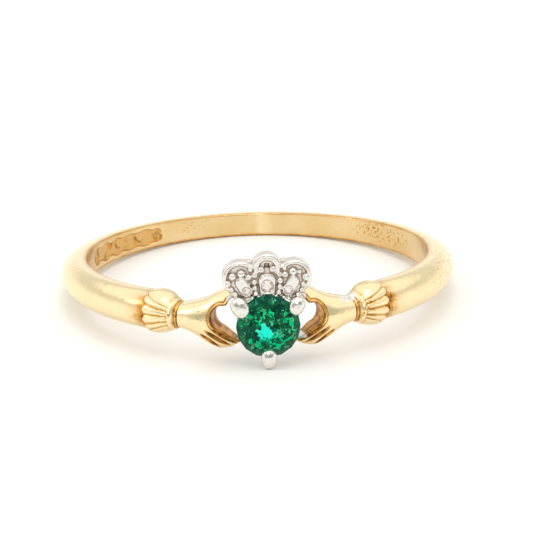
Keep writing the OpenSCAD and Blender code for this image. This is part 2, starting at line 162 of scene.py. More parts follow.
class FinishColours(bpy.types.PropertyGroup):
    """Colours of the metals and stones"""

    gold: tint("Gold", "Pale yellow gold", (0.94, 0.785, 0.48))
    film: tint("Film", "Deeper gold where the metal is dull, mostly inside the hole", (0.68, 0.45, 0.18))
    # Amber is partly painted reflected colour: besides the tarnish of folds and grooves it colours the gap's
    # walls, painted there in place of the gold's reflections of itself
    amber_and_reflection: tint("Amber", "Orange tarnish round the folds and grooves", (0.66, 0.31, 0.05))
    # Tarnish is partly painted shade: the same brown darkens the gap's lip and the edges and corners of the
    # finger hole
    tarnish_and_shade: tint("Tarnish", "Brown tarnish deep in folds and grooves", (0.2, 0.07, 0.015))
    solder: tint("Solder", "Pale solder at the joints", (0.85, 0.83, 0.78))
    white_gold: tint("White gold", "Polished white gold", (0.81, 0.785, 0.745))
    spot: tint("Spots", "Small duller spots of the white gold", (0.6, 0.5, 0.45))
    # Grime is partly painted shade: it also darkens the hollows between the beads and the crown's side walls
    grime_and_shade: tint("Grime", "Grey-brown grime between the beads", (0.42, 0.32, 0.26))
    emerald: tint("Emerald", "Light that the emerald lets through", (0.0, 0.89, 0.8))
    # Painted shade and painted highlight: the emerald's cells are coloured darker or lighter by chance, for
    # its dark and bright facets, and its rim darker near the girdle
    glass_painted_dark: tint("Dark glass", "Darker cells of the emerald", (0.02, 0.13, 0.11))
    glass_painted_light: tint("Light glass", "Lighter cells of the emerald", (0.4, 0.78, 0.6))
    glass_rim_shade: tint("Rim of the glass", "The emerald near its girdle", (0.03, 0.14, 0.12))
    glass_shine: tint("Shine", "Light that the emerald's surface mirrors", (0.1, 0.6, 0.45))
    fleck: tint("Fleck", "Small bright patches in the emerald", (0.0, 0.56, 0.2))
    # Painted highlight: the colour of the emerald's flash, a fixed bright patch
    painted_flash: tint("Flash", "The emerald's brightest patch", (0.02, 0.8, 0.6))
    diamond: tint("Diamond", "Nearly colourless stones", (0.97, 0.95, 0.95))
    # Painted shade of the small stones' dark facets
    diamond_shade: tint("Dark facets", "Rosy darker facets of the small stones", (0.70, 0.58, 0.54))
    floor: tint("Floor", "White surface under the ring", (0.9, 0.9, 0.89))


class StageSettings(bpy.types.PropertyGroup):
    """Camera, floor and light"""

    distance: length("Distance", "From the camera to the middle of the ring", 150 * MM)
    elevation: degrees("Elevation", "Angle of the camera above the floor", 20.2)
    turn: degrees("Turn", "Angle of the camera to the left of the head", 2.6)
    roll: degrees("Roll", "Tilt of the picture", -1.2)
    lens: bpy.props.FloatProperty(
        name="Lens", description="Focal length in millimetres", default=198.6, min=20.0)
    light: bpy.props.FloatProperty(
        name="Light", description="Strength of the light from all round", default=1.0, min=0.0, max=10.0)


def ease(t):
    """Smooth step: three times the square less twice the cube of t, held at 0 and 1 outside."""
    t = np.clip(t, 0.0, 1.0)
    return t * t * (3.0 - 2.0 * t)


def bell(distance, width):
    """1 at no distance, about a third at a width and next to nothing at two: e to minus the square."""
    return np.exp(-(distance / width) ** 2)


def mix(a, b, t):
    """Straight blend from a at 0 to b at 1."""
    return a + (b - a) * t


def smooth(knots, rows, at):
    """Smooth curve through rows of numbers at rising knots.

    Between two knots it is the cubic with the knots' values and slopes. The slope at a knot is that of
    the chord between its neighbours.
    """
    knots, rows = np.asarray(knots, float), np.asarray(rows, float)
    n = np.arange(len(knots))
    before, after = np.maximum(n - 1, 0), np.minimum(n + 1, len(n) - 1)
    slopes = (rows[after] - rows[before]) / (knots[after] - knots[before])[:, None]
    at = np.clip(at, knots[0], knots[-1])
    i = np.clip(np.searchsorted(knots, at, side="right") - 1, 0, len(n) - 2)
    w = (knots[i + 1] - knots[i])[..., None]
    t = (at - knots[i])[..., None] / w
    bend = t * (1 - t) ** 2 * slopes[i] - t * t * (1 - t) * slopes[i + 1]
    return mix(rows[i], rows[i + 1], ease(t)) + w * bend


def path_through(points, share):
    """Smooth path through points, read at shares from 0 to 1 of the sum of its chords."""
    points = np.asarray(points, float)
    chords = np.linalg.norm(np.diff(points, axis=0), axis=1)
    return smooth(np.concatenate([[0.0], np.cumsum(chords)]), points, np.asarray(share) * chords.sum())


def offset(path, by):
    """Moves a flat path sideways, to the left of its direction, by a distance."""
    along = np.gradient(path, axis=0)
    along /= np.linalg.norm(along, axis=1, keepdims=True)
    return path + by * np.stack([-along[:, 1], along[:, 0]], axis=-1)


def steps(start, end, step):
    """Evenly spaced numbers from start up to but not including end, at most a step apart."""
    return np.linspace(start, end, max(1, math.ceil((end - start) / step)), endpoint=False)


def on_ring(place):
    """Place [angle, height, distance from the axis] as a point of the ring before it is laid down."""
    angle, height, out = np.moveaxis(np.asarray(place, float), -1, 0)
    return np.stack([out * np.sin(angle), -out * np.cos(angle), height], axis=-1)


def on_head(x, height, out):
    """Place in front of the head, [sideways, height, distance from the axis], before it is laid down."""
    return np.stack(np.broadcast_arrays(x, -np.asarray(out, float), height), axis=-1)


def laid_down(points):
    """Turns points about X by the ring's lean, from the finger's own axis to the axis at rest."""
    x, y, z = np.moveaxis(points, -1, 0)
    c, s = math.cos(LEAN), math.sin(LEAN)
    return np.stack([x, c * y + s * z, c * z - s * y], axis=-1)


class Shell:
    """Grids of points collected into one mesh. Where grids share an edge, their points are merged."""

    def __init__(self):
        self.points, self.faces, self.count = [], [], 0

    def grid(self, points, wrap=False):
        """Adds a grid of points, rows by columns, with a face between each four. wrap closes each row."""
        rows, columns = points.shape[:2]
        index = self.count + np.arange(rows * columns).reshape(rows, columns)
        if wrap:
            index = np.concatenate([index, index[:, :1]], axis=1)
        corners = (index[:-1, :-1], index[:-1, 1:], index[1:, 1:], index[1:, :-1])
        self.faces.append(np.stack(corners, axis=-1).reshape(-1, 4))
        self.points.append(points.reshape(-1, 3))
        self.count += rows * columns

    def build(self, name, merge=1e-7):
        """One object of all the grids, its shared points merged and its faces turned outwards."""
        points = np.concatenate(self.points)
        faces = np.concatenate(self.faces)
        mesh = bpy.data.meshes.new(name)
        mesh.from_pydata(points.tolist(), [], faces.tolist())
        body = bmesh.new()
        body.from_mesh(mesh)
        bmesh.ops.remove_doubles(body, verts=body.verts, dist=merge)
        bmesh.ops.dissolve_degenerate(body, edges=body.edges, dist=merge)
        bmesh.ops.recalc_face_normals(body, faces=body.faces)
        body.to_mesh(mesh)
        body.free()
        mesh.shade_smooth()
        piece = bpy.data.objects.new(name, mesh)
        bpy.context.scene.collection.objects.link(piece)
        return piece


def vertices_of(mesh):
    """The mesh's points as an array."""
    points = np.empty(len(mesh.vertices) * 3, np.float32)
    mesh.vertices.foreach_get("co", points)
    return points.reshape(-1, 3).astype(float)


def move_vertices(mesh, points):
    """Puts an array of points into the mesh."""
    mesh.vertices.foreach_set("co", np.ascontiguousarray(points, np.float32).ravel())
    mesh.update()


def paint(mesh, name, values):
    """Stores one number for each point of the mesh, for its material to read."""
    layer = mesh.attributes.new(name, "FLOAT", "POINT")
    layer.data.foreach_set("value", np.ascontiguousarray(np.clip(values, 0.0, 1.0), np.float32))


def hollows(mesh, rounds):
    """How deep each point lies in a hollow, in metres.

    The mesh is evened out by moving every point to the mean of its neighbours a number of times. The
    depth is how far that moves the point along its normal.
    """
    points = vertices_of(mesh)
    ends = np.empty(len(mesh.edges) * 2, np.int32)
    mesh.edges.foreach_get("vertices", ends)
    first, second = ends.reshape(-1, 2).T
    count = np.bincount(ends, minlength=len(points))
    even = points.T
    for _ in range(rounds):
        even = np.stack([(np.bincount(first, axis[second], len(points))
                          + np.bincount(second, axis[first], len(points))) / count for axis in even])
    normals = np.empty(len(points) * 3, np.float32)
    mesh.vertex_normals.foreach_get("vector", normals)
    return np.sum((even.T - points) * normals.reshape(-1, 3), axis=1)


# Gold casting: the band, and on each side a cuff, a wrist and a hand

# Points across the band, and of a hand's sheet along its top, along its underside and across
ACROSS, HAND_TOP, HAND_FOOT, HAND_ACROSS = 80, 50, 64, 34
AROUND = np.linspace(-math.pi / 2, math.pi / 2, ACROSS + 1)
# How far the hoop's finely divided parts reach past a cuff and past the panel
CUFF_MARGIN, PANEL_MARGIN = 0.2 * MM, 0.3 * MM
# How squarely the back of a hand rounds over: the power of the cosine across it
DOME_POWER = 0.8
# Half heights of the fan of folds, at the neck and at the outer edge, in shares of the cuff's height
FAN_HALF = (0.22, 0.5)
# The crescent round a cuff's neck: its reach outwards and inwards at mid height, and how much it bends
RING_OUT, RING_IN, RING_BEND = 0.1 * MM, 0.15 * MM, 0.35
# Where the middle of the sunk panel and the seam lie round the ring
PANEL_PLACE, SEAM_PLACE = math.radians(233), math.radians(175)
# The panel's border: height and length of its waves, and how soft it is
PANEL_WAVE, PANEL_LOBE, PANEL_SOFT = 0.045 * MM, 1.1 * MM, 0.08 * MM
# The lumps on the panel's floor: how many, and their share of its depth
PANEL_LUMPS, LUMP_SHARE = 34, 0.4


def gold_sizes(sizes):
    """The casting's sizes, and the tables that follow from them."""
    arm, drop, rise = sizes.arm, sizes.hand_drop, sizes.thumb_rise
    hand, tall, cuff = sizes.hand_thickness, sizes.cuff_height, sizes.cuff_thickness
    # Columns: distance along the arm, lower edge, upper edge, thickness
    sections = np.array([
        [0.155 * arm, -0.84 * drop, 1.00 * rise, 0.78 * hand],
        [0.21 * arm, -0.80 * drop, 1.00 * rise, 0.88 * hand],
        [0.295 * arm, -0.96 * drop, 0.98 * rise, 0.95 * hand],
        [0.39 * arm, -1.00 * drop, 0.85 * rise, 1.00 * hand],
        [0.505 * arm, -0.79 * drop, 0.61 * rise, 1.00 * hand],
        [0.585 * arm, -0.60 * drop, 0.50 * rise, 0.98 * hand],
        [0.66 * arm, -0.48 * drop, 0.42 * rise, 0.93 * hand],
        [0.72 * arm, -0.45 * drop, 0.38 * rise, 0.90 * hand],
        [0.765 * arm, -0.38 * tall, 0.33 * tall, 0.92 * cuff],
        [0.82 * arm, -0.45 * tall, 0.45 * tall, 0.97 * cuff],
        [0.90 * arm, -0.50 * tall, 0.50 * tall, 1.00 * cuff],
        [0.96 * arm, -0.50 * tall, 0.50 * tall, 0.99 * cuff],
        [1.02 * arm, -0.46 * tall, 0.47 * tall, 0.96 * cuff],
    ])
    # Columns: distance along the arm and height at the knuckle, then the same at the tip
    grooves = np.array([
        [0.53 * arm, -0.47 * drop, 0.37 * arm, -0.96 * drop],
        [0.49 * arm, -0.34 * drop, 0.29 * arm, -0.88 * drop],
        [0.43 * arm, -0.28 * drop, 0.24 * arm, -0.80 * drop],
    ])
    # The edge of the gap between thumb and fingers, from the tip of the thumb round the web to the fingertips
    # Columns: distance along the arm, height
    web_x, web_z, web_r = 0.335 * arm, 0.056 * rise, 0.4 * drop
    web = np.radians([100, 70, 40, 10, -20, -50, -78])
    notch = np.concatenate([
        [[0.252 * arm, 0.76 * rise], [0.29 * arm, 0.66 * rise]],
        np.stack([web_x + web_r * np.cos(web), web_z + web_r * np.sin(web)], axis=-1),
        [[0.285 * arm, -0.56 * drop], [0.215 * arm, -0.74 * drop], [0.162 * arm, -0.68 * drop]],
    ])
    return SimpleNamespace(
        sizes=sizes, face_r=FINGER_R + sizes.thickness, sections=sections, grooves=grooves, notch=notch,
        thumb_end=0.25 * arm, finger_end=0.162 * arm, wrist=0.6 * arm, neck=0.772 * arm,
        wrist_grooves=(0.719 * arm, 0.738 * arm))


def section(gold, along):
    """Lower edge, upper edge and thickness of the arm's section at a distance along the arm."""
    return np.moveaxis(smooth(gold.sections[:, 0], gold.sections[:, 1:], along), -1, 0)


def around_arm(gold, along, height):
    """How far round the arm's section a height is, from a quarter turn down to a quarter turn up."""
    low, high, _ = section(gold, along)
    return np.arcsin(np.clip(2 * (height - low) / (high - low) - 1, -1, 1))


def finger_grooves(gold, along, height):
    """Share of the full depth of the grooves between the fingers.

    Each groove is a bell across its line and a half ellipse along it, so that both its ends are pointed.
    """
    deepest = np.zeros(np.broadcast(along, height).shape)
    for knuckle_x, knuckle_z, tip_x, tip_z in gold.grooves:
        run = np.array([tip_x - knuckle_x, tip_z - knuckle_z])
        x, z = along - knuckle_x, height - knuckle_z
        t = (x * run[0] + z * run[1]) / (run @ run)
        away = np.hypot(x - t * run[0], z - t * run[1]) / (gold.sizes.groove / 2)
        lens = np.sqrt(np.clip(4 * t * (1 - t), 0, None))
        deepest = np.maximum(deepest, lens * bell(away, np.maximum(lens, 0.3)))
    return deepest


def wrist_grooves(gold, along):
    """Share of the full depth of the two straight grooves round the wrist, each a bell across its line."""
    return sum(bell(along - groove, gold.sizes.wrist_groove / 2) for groove in gold.wrist_grooves)


def pleat_wave(gold, around):
    """1 on top of a pleat and 0 in a fold: the size of a sine with one half wave for each pleat."""
    return np.abs(np.sin((around + math.pi / 2) * gold.sizes.pleats))


def pleat_folds(gold, along, height):
    """Share of the full depth of the folds, thin lines that fan out straight from the neck of the cuff.

    A fold keeps its share of the fan's height, which grows evenly from the neck to the outer edge.
    """
    share = (along - gold.neck) / (gold.sizes.arm - gold.neck)
    fan = gold.sizes.cuff_height * mix(*FAN_HALF, np.clip(share, 0, 1))
    around = np.arcsin(np.clip(height / fan, -1, 1))
    top_pleat = math.pi / 2 - math.pi / 2 / gold.sizes.pleats
    return (1 - pleat_wave(gold, around)) ** 2 * ease(10 * share) * (np.abs(around) < top_pleat)


def ring_edge(gold, height):
    """Where the crescent round the neck ends towards the pleats: a parabola, furthest out at mid height."""
    return gold.neck + RING_OUT - RING_BEND * height ** 2 / gold.sizes.cuff_height


def neck_ring(gold, along, height):
    """1 on the crescent between wrist and pleats: a half ellipse from its inner to its outer edge."""
    outer, inner = ring_edge(gold, height), gold.neck - RING_IN
    middle, half = (outer + inner) / 2, (outer - inner) / 2
    return np.sqrt(np.clip(1 - ((along - middle) / np.maximum(half, 0.05 * MM)) ** 2, 0, 1))


def arm_height(gold, along, around):
    """Height and distance from the axis on the hand, wrist or cuff.

    around runs from a quarter turn down at the lower edge to a quarter turn up at the upper edge. The
    height follows its sine between the two edges of the section, and the thickness a power of its cosine.
    """
    sizes = gold.sizes
    low, high, thick = section(gold, along)
    height = mix(low, high, (1 + np.sin(around)) / 2)
    crown = np.clip(np.cos(around), 0, None)
    dome = sizes.edge + (thick - sizes.edge) * crown ** DOME_POWER
    carved = (sizes.groove_depth * finger_grooves(gold, along, height)
              + sizes.wrist_depth * wrist_grooves(gold, along)
              + sizes.pleat_depth * pleat_folds(gold, along, height)
              - sizes.ring_rise * neck_ring(gold, along, height))
    return height, FINGER_R + dome - carved * np.clip(2 * crown, 0, 1)


def band_height(gold, angle, around):
    """Height and distance from the axis on the plain band, an ellipse on top of its straight edges."""
    sizes = gold.sizes
    half = (sizes.back_height + (sizes.side_height - sizes.back_height) * (1 + np.cos(angle))) / 2
    thick = mix(sizes.back_thickness, sizes.thickness, ease(1 + np.cos(angle)))
    dome = sizes.edge + (thick - sizes.edge) * np.cos(around)
    return half * np.sin(around), FINGER_R + dome


def hoop_surface(gold, angle, around):
    """Place on the outside of the wrists, cuffs and band.

    The cuff goes over into the band across a narrow edge, which stands out at each pleat.
    """
    sizes = gold.sizes
    turned = np.where(angle > math.pi, 2 * math.pi - angle, angle)
    along = turned * gold.face_r
    reach = sizes.arm - sizes.scallop * (1 - pleat_wave(gold, around))
    share = ease((reach - along) / sizes.cuff_edge + 0.5)
    arm = arm_height(gold, along, around)
    band = band_height(gold, turned, around)
    height, out = (mix(b, a, share) for a, b in zip(arm, band))
    return np.stack(np.broadcast_arrays(angle, height, out), axis=-1)


def panel_mask(gold, angle, height):
    """1 inside the sunk panel and 0 outside, with soft borders.

    The panel is a bar with round ends. Two sines of unlike length, one times the other, make its border wavy.
    """
    sizes = gold.sizes
    along = (angle - PANEL_PLACE) * FINGER_R
    half = sizes.panel_height / 2
    beyond = np.maximum(np.abs(along) - (sizes.panel / 2 - half), 0)
    swell = 1 + 0.5 * np.sin(1.7 * along / PANEL_LOBE)
    wave = PANEL_WAVE * np.sin(2 * math.pi * along / PANEL_LOBE) * swell
    return ease((half + wave - np.hypot(beyond, height)) / PANEL_SOFT + 0.5)


def panel_lumps(gold, angle, height):
    """Worn lumps on the panel's floor, from -1 to 1: a sum of bells, each up or down by chance."""
    chance = np.random.default_rng(5)
    at = chance.uniform(-0.5, 0.5, PANEL_LUMPS) * gold.sizes.panel
    level = chance.uniform(-0.45, 0.45, PANEL_LUMPS) * gold.sizes.panel_height
    size = chance.uniform(0.16, 0.28, PANEL_LUMPS) * MM
    rise = chance.choice([-1.0, 1.0], PANEL_LUMPS)
    along = (angle - PANEL_PLACE) * FINGER_R
    bells = [up * bell(np.hypot(along - x, height - z), width)
             for x, z, width, up in zip(at, level, size, rise)]
    return np.clip(sum(bells), -1, 1)


def hoop_angles(gold):
    """Angles of the hoop's sections, from the right wrist round the back to the left wrist."""
    wrist, cuff_end = gold.wrist / gold.face_r, (gold.sizes.arm + CUFF_MARGIN) / gold.face_r
    fine, coarse = math.radians(0.25), math.radians(2.4)
    arm = steps(wrist, cuff_end, fine)
    panel = (gold.sizes.panel / 2 + PANEL_MARGIN) / FINGER_R
    left = 2 * math.pi - cuff_end
    back = [steps(cuff_end, PANEL_PLACE - panel, coarse),
            steps(PANEL_PLACE - panel, PANEL_PLACE + panel, 1.4 * fine),
            steps(PANEL_PLACE + panel, left, coarse)]
    return np.concatenate([arm, *back, [left], 2 * math.pi - arm[::-1]])


def wall(outside, inside, corner):
    """Grid between the edge of an outer sheet and the edge of the sheet in the finger hole.

    It goes straight down and then round a quarter circle onto the inner sheet.
    """
    down = np.linspace(0, 1, 6)[:, None]
    turn = np.linspace(0, math.pi / 2, 6)[1:, None]
    across = 1 - np.cos(turn)
    side = [outside[:, 0] + 0 * down, outside[:, 1] + 0 * down, mix(outside[:, 2], FINGER_R + corner, down)]
    foot = [mix(outside[:, 0], inside[:, 0], across), mix(outside[:, 1], inside[:, 1], across),
            FINGER_R + corner * (1 - np.sin(turn)) + 0 * outside[:, 2]]
    return np.concatenate([np.stack(side, axis=-1), np.stack(foot, axis=-1)])


def add_hoop(shell, gold):
    """Adds wrists, cuffs and band: an outer sheet, the sheet in the finger hole and a wall on each edge."""
    sizes = gold.sizes
    angle = hoop_angles(gold)[:, None]
    outer = hoop_surface(gold, angle, AROUND[None, :])
    low, high = outer[:, :1, 1] + sizes.corner, outer[:, -1:, 1] - sizes.corner
    height = mix(low, high, (1 + np.sin(AROUND)) / 2)
    uneven = 1 - LUMP_SHARE * panel_lumps(gold, angle, height)
    sunk = FINGER_R + sizes.panel_depth * panel_mask(gold, angle, height) * uneven
    inner = np.stack(np.broadcast_arrays(angle, height, sunk), axis=-1)
    shell.grid(on_ring(outer))
    shell.grid(on_ring(inner))
    for edge in (0, -1):
        shell.grid(on_ring(wall(outer[:, edge], inner[:, edge], sizes.corner)))


def hand_borders(gold, inset):
    """The two long borders of a hand's sheet, drawn in by an inset: the gap's edge, and the outline.

    The sheet is a strip that runs from the tip of the thumb round the gap to the fingertips. Its outer
    border follows the top of the hand, then the wrist's section downwards, then the underside.
    """
    top = np.linspace(gold.thumb_end + inset, gold.wrist, HAND_TOP + 1)[:-1]
    foot = np.linspace(gold.wrist, gold.finger_end + inset, HAND_FOOT + 1)[1:]
    low, high, _ = section(gold, np.array([gold.wrist]))
    across = mix(low + inset, high - inset, (1 + np.sin(AROUND[::-1])) / 2)
    outline = np.concatenate([
        np.stack([top, section(gold, top)[1] - inset], axis=-1),
        np.stack([np.full_like(across, gold.wrist), across], axis=-1),
        np.stack([foot, section(gold, foot)[0] + inset], axis=-1)])
    # The top takes the gap's edge up to the first share, the wrist up to the second, the underside the rest
    knots = [0, HAND_TOP, HAND_TOP + ACROSS, HAND_TOP + ACROSS + HAND_FOOT]
    share = np.interp(np.arange(len(outline)), knots, [0.0, 0.27, 0.5, 1.0])
    ends = inset / (1.2 * gold.sizes.arm)
    return offset(path_through(gold.notch, mix(ends, 1 - ends, share)), inset), outline


def rounded(distance, radius):
    """How far a surface drops at a distance from its edge, for an edge with a quarter circle."""
    inside = np.clip(1 - distance / radius, 0, 1)
    return radius * (1 - np.sqrt(1 - inside ** 2))


def add_hand(shell, gold, side):
    """Adds one hand: outer sheet, inner sheet and the walls of its free borders."""
    sizes = gold.sizes
    t = ((1 - np.cos(np.linspace(0, math.pi, HAND_ACROSS + 1))) / 2)[None, :, None]

    def sheet(inset):
        gap, outline = hand_borders(gold, inset)
        return mix(gap[:, None], outline[:, None], t), gap

    def place(flat, out):
        return np.stack(np.broadcast_arrays(side * flat[..., 0] / gold.face_r, flat[..., 1], out), axis=-1)

    flat, gap = sheet(0.0)
    along, height = flat[..., 0], flat[..., 1]
    out = arm_height(gold, along, around_arm(gold, along, height))[1]
    from_gap = np.linalg.norm(flat - gap[:, None], axis=-1)
    from_end = np.where(height > 0, along - gold.thumb_end, along - gold.finger_end)
    out = out - rounded(from_gap, sizes.notch_round) - rounded(from_end, sizes.notch_round)
    outer, inner = place(flat, out), place(sheet(sizes.corner)[0], FINGER_R)
    shell.grid(on_ring(outer))
    shell.grid(on_ring(inner))
    # Free borders: the gap, the top, the underside, the tip of the thumb and the fingertips
    for border in (np.s_[:, 0], np.s_[:HAND_TOP + 1, -1], np.s_[HAND_TOP + ACROSS:, -1], 0, -1):
        shell.grid(on_ring(wall(outer[border], inner[border], sizes.corner)))


# Strength of each kind of tarnish and painted shade; gap, lip, corner and both edges are painted shade
TARNISH_AND_SHADE = SimpleNamespace(
    grooves=1.7, wrist=1.0, folds=0.6, neck=0.35, stain=0.9, pit=1.2, gap=0.85, lip=0.9, corner=0.9,
    low_edge=0.7, high_edge=0.25, seam=0.3)
# Depth over which the paint of the finger hole goes over into that of the outside
SKIN = 0.3 * MM
# The dark line outside the crescent round a cuff's neck: distance from the crescent, and its width
NECK_PLACE, NECK_WIDTH = 0.02 * MM, 0.05 * MM
# The pit past the right cuff: distance along the arm, height, radius
PIT_ALONG, PIT_HEIGHT, PIT_R = 6.68 * MM, 0.4 * MM, 0.14 * MM
# Tarnish past a cuff: how far it fades, and how far up and down from mid height it is dark
LEDGE_LONG, LEDGE_TALL = 0.4 * MM, 0.75 * MM
# The stain on the right cuff: distance of its middle from the neck, and its width
STAIN_PLACE, STAIN_LONG = 0.35 * MM, 0.35 * MM
# Painted reflected colour and shade on the walls of the gap: the scale over which it fades from the gap's
# edge
GAP_WIDTH = 0.1 * MM
# The painted dark line of shade round the gap's lip: distance from the gap's edge, and its width
LIP_PLACE, LIP_WIDTH = 0.19 * MM, 0.04 * MM
# Width of the painted dark lines of shade along the two edges of the finger hole
RIM_WIDTH = 0.1 * MM
# The seam: half the width of its clean stripe, and distance and width of the line on each side
SEAM_CLEAN, SEAM_SIDE, SEAM_LINE = 0.25 * MM, 0.3 * MM, 0.05 * MM
# Pale solder: side, distance along the arm, height, half length, half height
SOLDER = (
    (1, 4.4 * MM, 0.62 * MM, 0.7 * MM, 0.3 * MM),
    (-1, 1.85 * MM, 1.0 * MM, 0.3 * MM, 0.3 * MM),
    (1, 1.85 * MM, 1.0 * MM, 0.2 * MM, 0.3 * MM),
    (1, 1.6 * MM, -0.98 * MM, 0.55 * MM, 0.2 * MM),
)
# Pitted patches: inside the hole, angle, height, half length, half height, strength
WORN_PATCHES = (
    (True, math.radians(127), 0.1 * MM, 3.2 * MM, 0.7 * MM, 1.0),
    (True, math.radians(200), 0.2 * MM, 1.6 * MM, 0.6 * MM, 0.3),
    (False, math.radians(75), 0.2 * MM, 5.0 * MM, 0.9 * MM, 0.5),
    (False, math.radians(29), 0.1 * MM, 0.7 * MM, 0.7 * MM, 0.9),
    (False, math.radians(37), 0.0 * MM, 0.5 * MM, 0.9 * MM, 1.0),
    (False, math.radians(331), 0.0 * MM, 0.7 * MM, 0.7 * MM, 0.5),
    (False, math.radians(340), 0.1 * MM, 1.0 * MM, 0.5 * MM, 0.5),
)


def outer_tarnish(gold, angle, along, height):
    """Tarnish of the outside: in what is carved, on the ledge behind each cuff and in one pit.

    On the ledge it fades with e to minus the distance past the cuff, and is darkest at mid height.
    """
    sizes = gold.sizes
    folds = np.where(along < sizes.arm, pleat_folds(gold, along, height), 0)
    neck = bell(along - ring_edge(gold, height) - NECK_PLACE, NECK_WIDTH)
    carved = (TARNISH_AND_SHADE.grooves * finger_grooves(gold, along, height)
              + TARNISH_AND_SHADE.wrist * wrist_grooves(gold, along) + TARNISH_AND_SHADE.folds * folds + TARNISH_AND_SHADE.neck * neck)
    # The right cuff is stained at the foot of its pleats
    stain = TARNISH_AND_SHADE.stain * np.sqrt(folds) * bell(along - gold.neck - STAIN_PLACE, STAIN_LONG)
    stain = stain * (angle > 0)
    reach = sizes.arm - sizes.scallop * (1 - pleat_wave(gold, around_arm(gold, along, height)))
    ledge = np.exp(-np.clip(along - reach, 0, None) / LEDGE_LONG) * (along - reach > -0.05 * MM)
    ledge = ledge * mix(0.25, 1, bell(height, LEDGE_TALL))
    from_pit = np.hypot(np.sign(angle) * along - PIT_ALONG, height - PIT_HEIGHT)
    return np.max([carved, stain, ledge, TARNISH_AND_SHADE.pit * bell(from_pit, PIT_R)], axis=0)


def gap_shade(gold, along, height, outside):
    """Painted shade round the gap between thumb and fingers: orange reflected colour and shade on its walls,
    and a dark line round its lip.
    """
    edge = path_through(gold.notch, np.linspace(0, 1, 90))
    hand = along < gold.sizes.arm / 2
    place = np.stack([along[hand], height[hand]], axis=-1)
    away = np.full(len(along), gold.sizes.arm)
    away[hand] = np.linalg.norm(place[:, None] - edge, axis=-1).min(axis=1)
    walls = TARNISH_AND_SHADE.gap * ease(1.5 - away / GAP_WIDTH)
    return np.maximum(walls, TARNISH_AND_SHADE.lip * outside * bell(away - LIP_PLACE, LIP_WIDTH))


def hole_shade_and_seam(gold, angle, along, height, from_seam):
    """Paint of the finger hole: painted shade along its two edges, and tarnish in a line on each side of the
    seam.
    """
    rim = band_height(gold, np.abs(angle), math.pi / 2)[0]
    edge = bell(np.clip(rim - np.abs(height), 0, None), RIM_WIDTH) * (along > gold.sizes.arm)
    edge = edge * np.where(height < 0, TARNISH_AND_SHADE.low_edge, TARNISH_AND_SHADE.high_edge)
    return np.maximum(edge, TARNISH_AND_SHADE.seam * bell(np.abs(from_seam) - SEAM_SIDE, SEAM_LINE))


def paint_gold(mesh, gold):
    """Stores on the casting's points where it is tarnished, painted with shade, soldered, sunk, dull and
    pitted.
    """
    x, y, height = np.moveaxis(vertices_of(mesh), -1, 0)
    angle, out = np.arctan2(x, -y), np.hypot(x, y)
    turned = np.where(angle < 0, angle + 2 * math.pi, angle)
    along, from_seam = np.abs(angle) * gold.face_r, (turned - SEAM_PLACE) * FINGER_R
    outside = ease((out - FINGER_R) / SKIN)
    inside = 1 - outside
    corner = gold.sizes.corner
    # Tarnish of the outside, with painted shade and reflected colour round the gap, painted shade along the
    # hole's edges and a painted dark line along its rounded corners
    paint(mesh, "tarnish_and_shade", np.max([
        outside * outer_tarnish(gold, angle, along, height),
        gap_shade(gold, along, height, outside),
        inside * hole_shade_and_seam(gold, angle, along, height, from_seam),
        TARNISH_AND_SHADE.corner * bell(out - FINGER_R - 0.6 * corner, 0.25 * corner)], axis=0))
    solder, wear = np.zeros(len(x)), np.zeros(len(x))
    for side, at, level, long, tall in SOLDER:
        reach = np.hypot((np.sign(angle) * along - side * at) / long, (height - level) / tall)
        solder = np.maximum(solder, ease(1.6 - 1.6 * reach))
    for in_hole, at, level, long, tall, share in WORN_PATCHES:
        reach = np.hypot((turned - at) * gold.face_r / long, (height - level) / tall)
        wear = np.maximum(wear, share * ease(2 - 2 * reach) * (inside if in_hole else outside))
    paint(mesh, "solder", solder * outside)
    paint(mesh, "wear", wear)
    sunk = panel_mask(gold, turned, height) * inside
    paint(mesh, "panel", sunk * (0.7 - 0.2 * panel_lumps(gold, turned, height)))
    paint(mesh, "inside", inside * (1 - 0.7 * bell(from_seam, SEAM_CLEAN)))


class Value:
    """A socket of a material's nodes. Arithmetic on it adds Math nodes."""

    def __init__(self, shader, socket):
        self.shader, self.socket = shader, socket

    def math(self, operation, *others):
        """A Math node of this value and others."""
        sockets = dict(enumerate((self, *others)))
        return self.shader.node("ShaderNodeMath", {"operation": operation}, sockets)

    def __add__(self, other):
        return self.math("ADD", other)

    def __mul__(self, other):
        return self.math("MULTIPLY", other)

    def __sub__(self, other):
        return self.math("SUBTRACT", other)

    def __rsub__(self, other):
        return (self * -1.0) + other

    __radd__ = __add__
    __rmul__ = __mul__

    def vector(self, operation, *others):
        """A Vector Math node of this vector and others."""
        sockets = dict(enumerate((self, *others)))
        output = "Value" if operation == "LENGTH" else "Vector"
        return self.shader.node("ShaderNodeVectorMath", {"operation": operation}, sockets, output)

    def step(self, low, high):
        """0 below low, 1 above high, smooth between."""
        settings = {"interpolation_type": "SMOOTHSTEP"}
        return self.shader.node("ShaderNodeMapRange", settings, {0: self, 1: low, 2: high})

    def limited(self):
        """The value held between 0 and 1."""
        return self.shader.node("ShaderNodeClamp", {}, {0: self})


